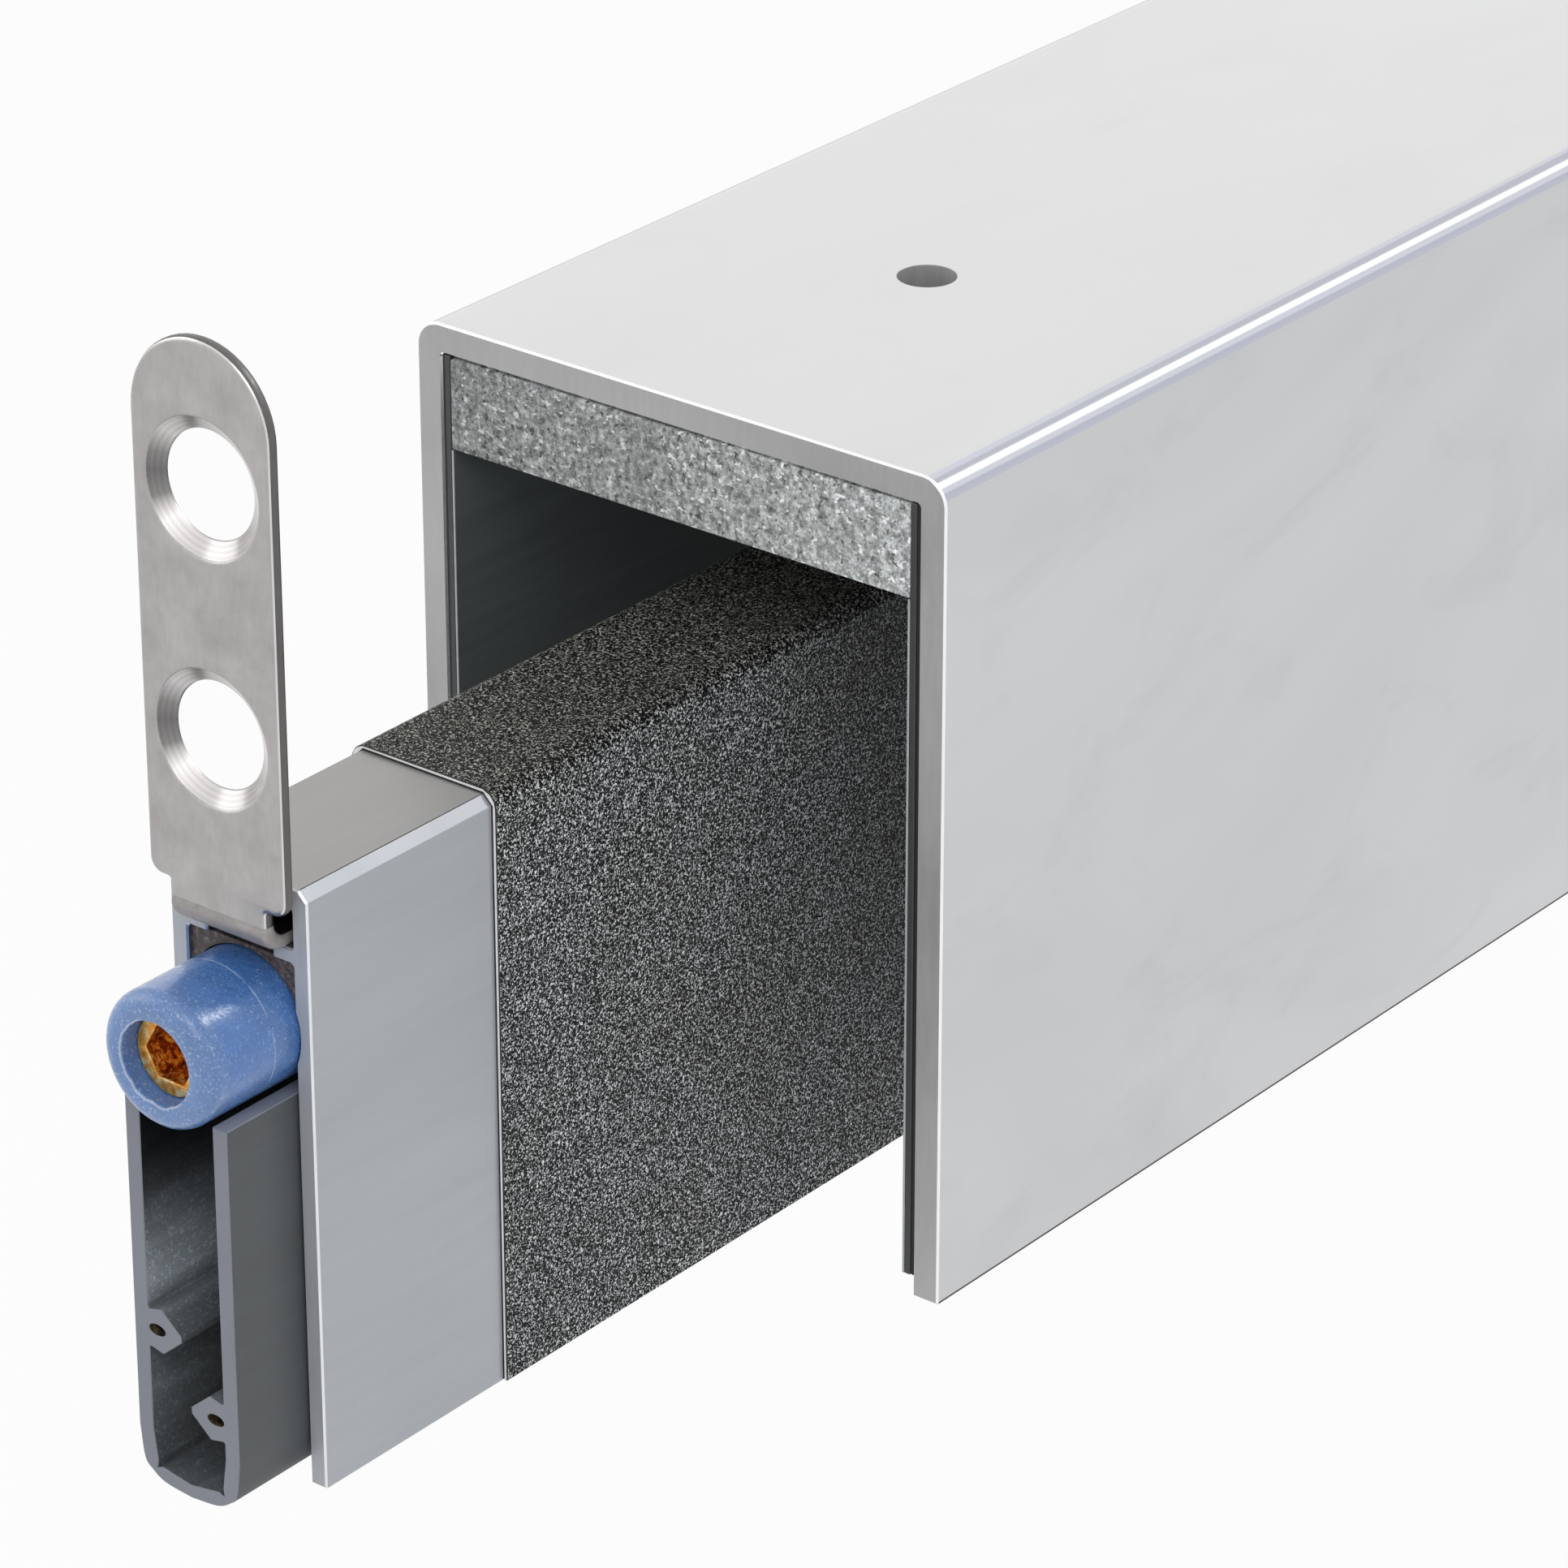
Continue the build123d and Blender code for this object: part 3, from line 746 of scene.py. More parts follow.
def mineral():
    """Pressed mineral board: pale grey with dark, light and greenish grains."""
    f = Finish("mineral", colours().mineral, 0.85, 0.0, Specular_IOR_Level=0.25)
    body = f.noise(1050.0, 5.0, 0.75)
    fine = f.noise(2500.0, 2.0, 0.7)
    dark_grains = f.noise(1500.0, 2.0, 0.6)
    light_grains = f.noise(1350.0, 2.0, 0.6, (1.0, 1.0, 1.3))
    patches = f.noise(120.0, 4.0, 0.65)
    tone = f.toned(body, 0.50, 1.42, 0.12)
    tone = f.times(tone, f.between(fine, 0.36, 0.64, 0.60, 1.40))
    tone = f.mixed(f.between(dark_grains, 0.60, 0.65, 0.0, 0.82), tone, (0.06, 0.066, 0.056))
    tone = f.mixed(f.between(light_grains, 0.60, 0.65, 0.0, 0.85), tone, (0.88, 0.90, 0.91))
    tone = f.mixed(f.between(patches, 0.52, 0.66, 0.0, 0.38), tone, (0.17, 0.19, 0.17))
    # Painted light: the board gets lighter towards its right side
    f.paint(f.times(tone, f.between(f.axis("X"), board_low.x, board_high.x, 0.86, 1.55)))
    f.bump(f.sum("ADD", body, fine), 0.10 * MM, 0.6)
    return f.material


def strip(name, base, roughness, speck=0.10):
    """Plain moulded strip with faint long marks."""
    f = Finish(name, base, roughness)
    f.paint(f.toned(f.noise(900.0, 2.0, 0.5, (1.0, 0.05, 1.0)), 1 - speck, 1 + speck))
    f.bump(f.noise(2600.0, 2.0), 0.01 * MM, 0.4)
    return f.material


def embossed_sleeve():
    """Charcoal sheet with a fine wormy emboss and painted glints, olive and darkened on top as
    painted shade, bluer on its sides.
    """
    f = Finish("embossed_sleeve", colours().charcoal, 0.5, 0.0, Specular_IOR_Level=0.14)
    worms = f.noise(4800.0, 1.0, 0.5, None, 1.0)
    grit = f.noise(7400.0, 1.0, 0.5, None, 0.6)
    patches = f.noise(95.0, 3.0, 0.6)
    worm_height = f.between(worms, 0.38, 0.62)
    height = f.sum("ADD", worm_height, f.between(grit, 0.36, 0.64, 0.0, 0.7))
    crown = f.between(height, 0.25, 1.45)
    # Painted glints: the emboss's crowns rise far above the base colour
    tone = f.times(f.base, f.ramp(crown, [(0.0, 0.0), (0.50, 0.06), (0.64, 1.6), (1.0, 18.5)]))
    # Painted shade: the top is darkened, its low parts most, besides its olive tint
    olive = f.times(tone, (0.57, 0.552, 0.494))
    olive = f.times(olive, f.between(crown, 0.50, 0.92, 0.18, 1.0))
    bluish = f.times(tone, (0.98, 1.00, 1.04))
    share = f.between(f.axis("Z"), sleeve_high.z - 1.3 * MM, sleeve_high.z - 0.05 * MM)
    tone = f.mixed(share, f.mixed(f.between(patches, 0.42, 0.62), bluish, tone), olive)
    f.paint(f.times(tone, f.between(patches, 0.3, 0.7, 1.12, 0.92)))
    f.rough(f.between(grit, 0.35, 0.65, 0.34, 0.58))
    f.bump(height, 0.13 * MM, 1.0)
    return f.material


def satin(name, base):
    """Anodised aluminium, satin, with faint drawing lines."""
    f = Finish(name, base, 0.34, 0.9)
    lines = f.noise(950.0, 3.0, 0.55, (1.0, 0.05, 1.0))
    clouds = f.noise(45.0, 2.0, 0.5, (1.0, 0.5, 1.0), 0.8)
    f.paint(f.times(f.toned(clouds, 0.95, 1.05), f.between(lines, 0.3, 0.7, 0.975, 1.02)))
    f.rough(f.between(clouds, 0.3, 0.7, 0.30, 0.38))
    f.bump(lines, 0.004 * MM, 0.5)
    return f.material


def brushed(name, base, roughness=0.33):
    """Stainless sheet, finely brushed and a little blotchy."""
    f = Finish(name, base, roughness, 1.0)
    hairs = f.noise(2600.0, 3.0, 0.6, (1.0, 1.0, 0.22))
    blotches = f.noise(330.0, 3.0, 0.6)
    f.paint(f.times(f.toned(blotches, 0.90, 1.10), f.between(hairs, 0.3, 0.7, 0.94, 1.05)))
    f.rough(f.between(hairs, 0.3, 0.7, roughness - 0.06, roughness + 0.08))
    f.bump(hairs, 0.006 * MM, 0.6)
    return f.material


def turned_steel(base, lower_hole, spacing):
    """Turned cones of the countersinks, with a lathe's rings and painted light and dark reflection
    sectors by angle round each hole.
    """
    f = Finish("turned_steel", base, 0.22, 1.0)
    pitch = 0.34 * MM
    up = f.sum("ADD", f.axis("Z"), spacing / 2 - lower_hole)
    up = f.sum("SUBTRACT", f.sum("FLOORED_MODULO", up, spacing), spacing / 2)
    side = f.axis("X")
    # Painted reflection: how light each angle round the hole is
    levels = [(0.0, 0.34), (0.06, 0.50), (0.12, 1.90), (0.18, 1.45), (0.27, 1.05), (0.38, 0.80)]
    levels += [(0.52, 1.15), (0.66, 0.90), (0.78, 0.82), (0.88, 1.10), (0.95, 0.48), (1.0, 0.34)]
    reflection_fans = f.ramp(f.between(f.sum("ARCTAN2", up, side), -math.pi, math.pi), levels)
    square = f.sum("ADD", f.sum("MULTIPLY", up, up), f.sum("MULTIPLY", side, side))
    turns = f.sum("SINE", f.sum("MULTIPLY", f.sum("SQRT", square), math.tau / pitch))
    f.paint(f.times(f.times(f.base, reflection_fans), f.between(turns, -1.0, 1.0, 0.92, 1.07)))
    return f.material


def pressed_steel(base):
    """Duller sheet where a bracket is bent."""
    f = Finish("pressed_steel", base, 0.55, 0.35)
    grain = f.noise(900.0, 4.0, 0.65)
    f.paint(f.toned(grain, 0.82, 1.14))
    f.bump(grain, 0.02 * MM, 0.5)
    return f.material


def waxy_blue(name, base, ring_lines, coat):
    """Waxy blue plastic with painted glints on its grain, and thin ring marks painted lighter as
    highlights if asked for.
    """
    wax = {"Subsurface_Weight": 0.12, "Subsurface_Scale": 0.6 * MM}
    f = Finish(name, base, 0.36, 0.0, Coat_Weight=coat, Coat_Roughness=0.2, **wax)
    grain = f.noise(2600.0, 2.0, 0.6)
    mottle = f.noise(420.0, 3.0, 0.6)
    tone = f.times(f.toned(mottle, 0.88, 1.08), f.between(grain, 0.35, 0.65, 0.94, 1.06))
    # Painted glints: pale specks on the grain
    painted_sparkle = f.between(f.noise(5200.0, 1.0, 0.5), 0.60, 0.72, 0.0, 0.55)
    painted = f.mixed(painted_sparkle, tone, (0.62, 0.70, 0.86))
    barrel = f.between(f.axis("Y"), plunger_low.y + 0.3 * MM, plunger_low.y + 2.4 * MM)
    painted = f.mixed(barrel, painted, f.times(painted, (0.46, 0.70, 0.90)))
    # Painted highlight: each ring mark is drawn lighter, as if its groove caught the light
    for reach in RING_MARKS if ring_lines else ():
        away = f.sum("ABSOLUTE", f.sum("SUBTRACT", f.axis("Y"), plunger_low.y + reach))
        mark = f.between(away, 0.03 * MM, 0.10 * MM, 0.45, 0.0)
        broken = f.sum("MULTIPLY", mark, f.between(mottle, 0.44, 0.56))
        painted = f.mixed(broken, painted, (0.55, 0.66, 0.84))
    f.paint(painted)
    f.rough(f.between(grain, 0.35, 0.65, 0.26, 0.46))
    f.tree.links.new(f.bump(grain, 0.035 * MM, 0.7), f.shader["Coat Normal"])
    return f.material


def turned_brass():
    """Bright turned brass."""
    f = Finish("turned_brass", colours().brass, 0.35, 0.6, Specular_IOR_Level=0.1)
    grain = f.noise(1600.0, 3.0, 0.6)
    stops = [(0.32, (0.70, 0.25, 0.04)), (0.5, (0.95, 0.45, 0.09)), (0.66, (1.0, 0.80, 0.40))]
    f.paint(f.ramp(grain, stops))
    f.rough(f.between(grain, 0.3, 0.7, 0.26, 0.46))
    f.bump(grain, 0.03 * MM, 0.6)
    return f.material


def amber_socket():
    """Inside of the brass socket, lumpy amber with small painted glints."""
    f = Finish("amber_socket", (0.62, 0.24, 0.03), 0.22, 0.9)
    lumps = f.noise(1500.0, 4.0, 0.7, None, 0.6)
    stops = [(0.40, (0.20, 0.040, 0.003)), (0.49, (0.66, 0.22, 0.02))]
    # Painted glints: the last, near-white gold stops
    stops += [(0.55, (1.0, 0.50, 0.07)), (0.58, (1.0, 0.90, 0.40))]
    f.paint(f.ramp(lumps, stops))
    f.bump(lumps, 0.22 * MM, 1.0)
    return f.material


def rubber():
    """Matt extruded rubber."""
    f = Finish("rubber", colours().rubber, 0.5, 0.0, Specular_IOR_Level=0.4)
    lines = f.noise(700.0, 3.0, 0.55, (1.0, 0.06, 1.0))
    f.paint(f.toned(lines, 0.93, 1.07))
    f.bump(lines, 0.02 * MM, 0.4)
    return f.material


# Painted light and shade inside the seal at shares of its height, lowest first, darkest at the top
INNER_PAINTED_LIGHT = [(0.0, 1.5), (0.10, 1.2), (0.24, 2.0), (0.38, 1.1), (0.45, 1.5), (0.51, 4.6)]
INNER_PAINTED_LIGHT += [(0.58, 4.0), (0.68, 1.9), (0.77, 0.45), (0.86, 0.14), (1.0, 0.08)]


def inner_rubber():
    """Inside of the seal, glossier, with painted light and shade by height, dust specks and faint
    drawn marks.
    """
    coat = {"Coat_Weight": 0.3, "Coat_Roughness": 0.25}
    f = Finish("inner_rubber", colours().rubber, 0.34, 0.0, **coat)
    drawn = f.noise(900.0, 4.0, 0.65, (1.0, 0.16, 1.0), 0.4)
    dust = f.noise(3600.0, 2.0, 0.6)
    # Painted light and shade by height
    level = f.ramp(f.between(f.axis("Z"), seal_low.z, seal_high.z), INNER_PAINTED_LIGHT)
    tone = f.times(f.toned(drawn, 0.82, 1.20), level)
    f.paint(f.mixed(f.between(dust, 0.54, 0.68, 0.0, 0.5), tone, f.times(tone, (2.3, 2.4, 2.6))))
    f.rough(f.between(drawn, 0.3, 0.7, 0.28, 0.46))
    f.bump(drawn, 0.03 * MM, 0.5, f.bump(dust, 0.02 * MM, 0.5))
    return f.material


def cut_rubber():
    """The seal's cleanly cut end."""
    f = Finish("cut_rubber", colours().cut_rubber, 0.6)
    f.paint(f.toned(f.noise(160.0, 2.0), 0.96, 1.04))
    f.bump(f.noise(3000.0, 2.0), 0.01 * MM, 0.3)
    return f.material


def moulding():
    """Dark glass-filled moulding with a grainy skin."""
    f = Finish("moulding", colours().moulding, 0.55)
    grain = f.noise(2100.0, 3.0, 0.7)
    stops = [(0.35, (0.045, 0.036, 0.034)), (0.55, (0.115, 0.092, 0.088))]
    f.paint(f.ramp(grain, [*stops, (0.72, (0.30, 0.25, 0.235))]))
    f.bump(grain, 0.08 * MM, 0.8)
    return f.material


def hollow():
    """Inside of a rib's hole, painted dark as shade, with painted brownish light as if coming
    through.
    """
    f = Finish("hollow", (0.055, 0.044, 0.030), 0.4)
    stops = [(0.4, (0.02, 0.017, 0.014)), (0.6, (0.12, 0.09, 0.05)), (0.75, (0.30, 0.24, 0.15))]
    f.paint(f.ramp(f.noise(1800.0, 2.0), stops))
    return f.material


# Operators, one for each piece or group of like pieces


class DOORSEAL_OT_channel(bpy.types.Operator):
    """Make the outer channel with its two web holes"""

    bl_idname = "door_seal.channel"
    bl_label = "Outer channel"

    def execute(self, context):
        s = sizes()
        low, high = channel_low, channel_high
        inner = high.x - s.channel_wall
        under_web = high.z - s.channel_wall
        foot = low.z + 0.26 * MM
        toe, inside = 0.15 * MM, 0.25 * MM
        corners = [
            (inner, under_web, inside),
            (inner, low.z, toe),
            (high.x, low.z, toe),
            (high.x, foot, 0.0),
            (high.x, high.z, s.channel_corner),
        ]
        outline = rounded(both_sides(corners), 16)
        painted_corner_slot, shaded_top_slot, shade_foot_slot = 3, 4, 5

        # Painted light by place: reflection on the rolled corners, shade on the top face and a dark
        # shade line along the foot
        def paint(middle, normal):
            gap = min(high.z - middle.y, high.x - abs(middle.x))
            leaning = 0.25 < normal.y < 0.985 and middle.y > under_web - s.channel_corner
            if leaning and gap < s.channel_corner * 0.9:
                return painted_corner_slot
            if normal.y > 0.9 and middle.y > high.z - 0.2 * MM:
                return shaded_top_slot
            return shade_foot_slot if middle.y < foot and abs(middle.x) > inner else SIDE

        finishes = [
            silver("silver", colours().silver, 0.055),
            sawn("sawn_silver", colours().sawn_silver),
            # Painted highlight on the eased edges
            edge_painted_light("burnished_silver", (0.97, 0.97, 0.98)),
            # Painted reflection on the rolled corners
            rolled_corner(s.channel_corner),
            # Painted shade: the top face gets a darker copy of the silver
            silver("silver_top", (0.555, 0.556, 0.560), 0.016),
            # Painted shade: a dark line along the foot of the channel's sides
            strip("dark_foot", (0.05, 0.05, 0.05), 0.5),
        ]
        section = [outline], low.y, high.y, s.edge_break, THREE_FINISHES
        piece = extruded("channel_shell", finishes, *section, paint=paint)
        drill_web_holes(piece, high.z, under_web, END, finishes)
        settle(piece, "frame", "channel_metal", "channel")
        return {"FINISHED"}


class DOORSEAL_OT_board(bpy.types.Operator):
    """Make the mineral board, the grains on its front and the packers under it"""

    bl_idname = "door_seal.board"
    bl_label = "Board and packers"

    def execute(self, context):
        low, high = board_low, board_high
        stone = mineral()
        top = high.z - 0.16 * MM
        outline = block(low.x, low.z, high.x, top, 0.2 * MM, top_radius=0.35 * MM)
        section = [outline], low.y, high.y, 0.2 * MM, ONE_FINISH
        board = extruded("mineral_board", [stone], *section, steps=2)
        drill_web_holes(board, high.z, low.z, SIDE, [stone])
        settle(board, "frame", "mineral_board", "fire_board")

        bare_rim = 0.7 * MM
        values = {
            "Width": high.x - low.x - bare_rim,
            "Height": high.z - low.z - bare_rim,
            "Middle": (0.0, low.y + 0.05 * MM, (low.z + high.z) / 2),
            "Density": 2.6e6,
            "Grain size": 0.19 * MM,
            "Seed": 7,
            "Finish": stone,
        }
        settle(grown("board_grains", grain_tree(), values), "frame", "mineral_board")

        packer_low, packer_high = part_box("front_packer")
        half = (packer_high - packer_low) / 2
        edge = 0.3 * MM
        section = [block(-half.x, -half.z, half.x, half.z, edge)], -half.y, half.y, edge, ONE_FINISH
        pattern = extruded("packer_pattern", [stone], *section, steps=2)
        nodes = ("front_packer", "rear_packer")
        settle(grown_pair("packers", pattern, nodes, stone), "frame", "mineral_board", *nodes)
        return {"FINISHED"}


class DOORSEAL_OT_liners(bpy.types.Operator):
    """Make the liner strips and their facings inside the legs"""

    bl_idname = "door_seal.liners"
    bl_label = "Liners"

    def execute(self, context):
        slate = strip("slate_strip", colours().slate, 0.5)
        bed = strip("adhesive_bed", (0.010, 0.010, 0.011), 0.6)
        lining = strip("dark_lining", colours().lining, 0.28)
        pale = strip("pale_edge", (0.50, 0.51, 0.52), 0.4)
        bed_share = 0.34
        for side, name in ((-1, "left"), (1, "right")):
            low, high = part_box(f"{name}_liner")
            outer = high.x if side > 0 else low.x
            thickness = high.x - low.x
            split = outer - side * thickness * bed_share
            inner = outer - side * thickness
            layers = ((outer, split, END, 0.12 * MM), (split, inner, SIDE, 0.02 * MM))
            bm = bmesh.new()
            for start, end, slot, set_back in layers:
                near, far = sorted((start, end))
                outline = block(near, low.z, far, high.z - 0.04 * MM, 0.08 * MM)
                extrude(bm, [outline], low.y + set_back, high.y, 0.06 * MM, (slot, slot, slot))
            piece = shaded_object(f"{name}_liner_strip", bm, [slate, bed])
            settle(piece, "frame", "liner", f"{name}_liner")

            low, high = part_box(f"{name}_facing")
            edge = 0.05 * MM
            outline = block(low.x, low.z, high.x, high.z - edge, edge, 2)
            section = [outline], low.y, high.y, 0.04 * MM, TWO_FINISHES
            piece = extruded(f"{name}_lining", [lining, pale], *section)
            settle(piece, "frame", "facing", f"{name}_facing")
        return {"FINISHED"}


class DOORSEAL_OT_sleeve(bpy.types.Operator):
    """Make the embossed sleeve round the housing"""

    bl_idname = "door_seal.sleeve"
    bl_label = "Sleeve"

    def execute(self, context):
        s = sizes()
        bottom, lip, bend = housing_low.z, 0.1 * MM, 0.05 * MM
        side, top = housing_high.x + s.sleeve_wall, housing_high.z + s.sleeve_wall
        inside = housing_high.x + 0.01 * MM
        under = housing_high.z + 0.01 * MM
        corners = [
            (inside - s.housing_corner, under, bend),
            (inside, under - s.housing_corner, bend),
            (inside, bottom, lip),
            (side, bottom, lip),
            (side, top, s.sleeve_corner),
        ]
        outline = rounded(both_sides(corners), 10)
        start, end = sleeve_low.y, sleeve_high.y
        bm = bmesh.new()
        extrude(bm, [outline], start, end, 0.08 * MM, THREE_FINISHES, steps=2, rows=90)
        dice = random.Random(11)
        ragged_end, most = start + 0.5 * MM, 0.06
        for vert in bm.verts:
            if vert.co.y < ragged_end:
                vert.co.y += dice.uniform(0.0, most) * MM
        finishes = [
            embossed_sleeve(),
            strip("sleeve_core", (0.96, 0.96, 0.97), 0.7, 0.05),
            strip("sleeve_edge", (0.020, 0.020, 0.021), 0.7, 0.6),
        ]
        settle(shaded_object("sleeve_wrap", bm, finishes), "frame", "sleeve_wrap", "sleeve")
        return {"FINISHED"}


class DOORSEAL_OT_housing(bpy.types.Operator):
    """Make the housing with its bracket slot and plunger recess"""

    bl_idname = "door_seal.housing"
    bl_label = "Housing"

    def execute(self, context):
        s = sizes()
        inner = housing_high.x - s.housing_wall
        lip = inner - s.flange_reach
        slot_top = housing_high.z - s.housing_web
        flange_top = slot_top - s.slot_height
        flange_bottom = flange_top - s.flange
        recess = (plunger_high.x - plunger_low.x) / 2 + 0.1 * MM
        opening = math.acos(inner / recess)
        small, root = 0.12 * MM, 0.3 * MM
        chamfer = s.housing_corner
        angles = [opening * (1 - step / 6) for step in range(13)]
        corners = [
            (inner, slot_top, 0.35 * MM),
            (inner, flange_top, root),
            (lip, flange_top, small),
            (lip, flange_bottom, small),
            (inner, flange_bottom, root),
            *[(recess * math.cos(a), AXIS_Z + recess * math.sin(a), 0.0) for a in angles],
            (inner, housing_low.z, small),
            (housing_high.x, housing_low.z, small),
            (housing_high.x, housing_high.z - chamfer, small),
            (housing_high.x - chamfer, housing_high.z, small),
        ]
        outline = rounded(both_sides(corners), 4)
        painted_corner_slot, shaded_top_slot, shade_ridge_slot = 3, 4, 5

        # Painted light by place: a dark shade line where top meets chamfer, the chamfers toned for
        # how lit they look, shade on the top face
        def paint(middle, normal):
            across, up = housing_high.x - abs(middle.x), housing_high.z - middle.y
            if math.hypot(chamfer - across, up) < small * 0.6:
                return shade_ridge_slot
            if up < chamfer * 1.01 and across < chamfer * 1.01:
                return painted_corner_slot
            return shaded_top_slot if normal.y > 0.9 and up < 0.1 * MM else SIDE

        finishes = [
            satin("satin_housing", colours().satin),
            sawn("sawn_housing", colours().sawn_satin, 0.06),
            edge_painted_light("burnished_housing", (0.84, 0.85, 0.87)),
            # Painted light: the chamfers get their own tone for how lit they look
            edge_painted_light("bright_corner", (0.38, 0.395, 0.42), 0.5),
            # Painted shade: the top face gets a darker, warmer copy of the satin
            satin("satin_top", (0.292, 0.287, 0.283)),
            # Painted shade: a dark line where the top meets a chamfer
            strip("dark_ridge", (0.05, 0.05, 0.052), 0.5),
        ]
        section = [outline], housing_low.y, housing_high.y, 0.14 * MM, THREE_FINISHES
        piece = extruded("housing_shell", finishes, *section, paint=paint)
        settle(piece, "frame", "housing_metal", "housing")
        return {"FINISHED"}


class DOORSEAL_OT_brackets(bpy.types.Operator):
    """Make the two end brackets with their pressed countersinks"""

    bl_idname = "door_seal.brackets"
    bl_label = "Brackets"

    # Places of its finishes
    flat_slot, cut_slot, rolled_slot, cone_slot, bend_slot = range(5)

    # Between a countersink's rim and the sheet that it is pressed into
    rim_gap = 0.06 * MM

    def bent(self, vert, face_y, inward, bend_z):
        """Moves a point of the flat pattern to its place on the bent sheet."""
        sheet = sizes().bracket_sheet
        outer = 2 * sheet
        arc = (outer - sheet / 2) * math.pi / 2
        x, depth, height = vert.co
        fall = bend_z - height
        if fall <= 0:
            y, z = depth, height
        elif fall < arc:
            angle = fall / arc * math.pi / 2
            onset = min(1.0, fall / (0.18 * arc))
            swell = 0.26 * MM * (1 - depth / sheet) * onset * math.cos(angle)
            reach = outer - depth + max(0.0, swell)
            y = outer - reach * math.cos(angle)
            z = bend_z - reach * math.sin(angle)
        else:
            y = outer + fall - arc
            z = bend_z - (outer - depth)
        vert.co = Vector((x, face_y + inward * y, z))

    def pressed_ring(self, bm, face_y, inward, height, hole, sink):
        """Countersink pressed into the sheet."""
        s = sizes()
        sheet, edge = s.bracket_sheet, s.bracket_edge
        rim = sink + self.rim_gap
        outside = rim + self.rim_gap
        profile = [(sheet * 0.6, outside), (edge * 0.34, rim + edge * 0.36)]
        first = Vector((edge * 0.32, rim + edge * 0.30))
        last = Vector((sheet - 0.10 * MM, hole + 0.04 * MM))
        rings = 30
        for step in range(rings):
            at = first.lerp(last, step / (rings - 1))
            profile.append((at.x, at.y))
        profile += [(sheet, hole), (sheet + 0.02 * MM, hole + 0.12 * MM), (sheet, outside)]
        placed = [(face_y + inward * depth, radius) for depth, radius in profile]
        slots = {number: self.cone_slot for number in range(1, 2 + rings)}
        lathe(bm, placed, height, 96, lambda number, angle: slots.get(number, self.flat_slot))

    def execute(self, context):
        s = sizes()
        sheet = s.bracket_sheet
        lower_hole = housing_high.z + s.hole_height
        heights = [lower_hole, lower_hole + s.hole_spacing]
        steel = colours().steel
        finishes = [
            brushed("brushed_steel", steel),
            # Sheared sides, darker than bare steel as painted shade besides their duller finish
            brushed("sheared_steel", shade_of(steel, 0.32), 0.4),
            edge_painted_light("rolled_edge", (0.72, 0.70, 0.69)),
            turned_steel(shade_of(steel, 1.15), lower_hole, s.hole_spacing),
            pressed_steel((0.40, 0.375, 0.365)),
        ]
        flat, cut = self.flat_slot, self.cut_slot
        # Eased edge from the face: plain bands, a painted highlight band, then dark bands of
        # painted shade
        slots = (cut, flat, (flat, flat, self.rolled_slot, cut, cut))
        shoulder_radius, root, tip = 1.2 * MM, 0.25 * MM, 0.8 * MM
        for name, inward, hole, sink in (
            ("front", 1, s.front_hole, s.front_sink),
            ("rear", -1, s.rear_hole, s.rear_sink),
        ):
            low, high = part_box(f"{name}_bracket")
            face_y = low.y if inward > 0 else high.y
            half, neck = high.x, s.tongue_width / 2
            bend_z = low.z + 2 * sheet
            shoulder = low.z + s.shoulder_height
            arc = 1.5 * sheet * math.pi / 2
            end = bend_z - arc - (s.tongue_length - 2 * sheet)
            outline = rounded(
                [
                    (half, high.z, half * 0.998),
                    (-half, high.z, half * 0.998),
                    (-half, shoulder, shoulder_radius),
                    (-neck, shoulder, root),
                    (-neck, end, tip),
                    (neck, end, tip),
                    (neck, shoulder, root),
                    (half, shoulder, shoulder_radius),
                ],
                14,
            )
            bores = [circle(0.0, height, sink + self.rim_gap, 72) for height in heights]
            bm = bmesh.new()
            extrude(bm, [outline, *bores], 0.0, sheet, s.bracket_edge, slots, steps=5)
            for face in bm.faces:
                middle = face.calc_center_median()
                reaches = [math.hypot(middle.x, middle.z - height) for height in heights]
                if any(abs(reach - sink) < 0.45 * MM for reach in reaches):
                    face.material_index = flat
            cuts = 16
            for step in range(cuts + 1):
                bmesh.ops.bisect_plane(
                    bm,
                    geom=[*bm.verts, *bm.edges, *bm.faces],
                    plane_co=(0, 0, bend_z - arc * step / cuts),
                    plane_no=(0, 0, 1),
                )
            for face in bm.faces:
                middle = face.calc_center_median()
                if middle.z < bend_z:
                    face.material_index = self.bend_slot if middle.y < sheet * 0.9 else cut
            for vert in bm.verts:
                self.bent(vert, face_y, inward, bend_z)
            for height in heights:
                self.pressed_ring(bm, face_y, inward, height, hole, sink)
            piece = shaded_object(f"{name}_bracket_plate", bm, finishes)
            settle(piece, "frame", "bracket_steel", f"{name}_bracket")
        return {"FINISHED"}


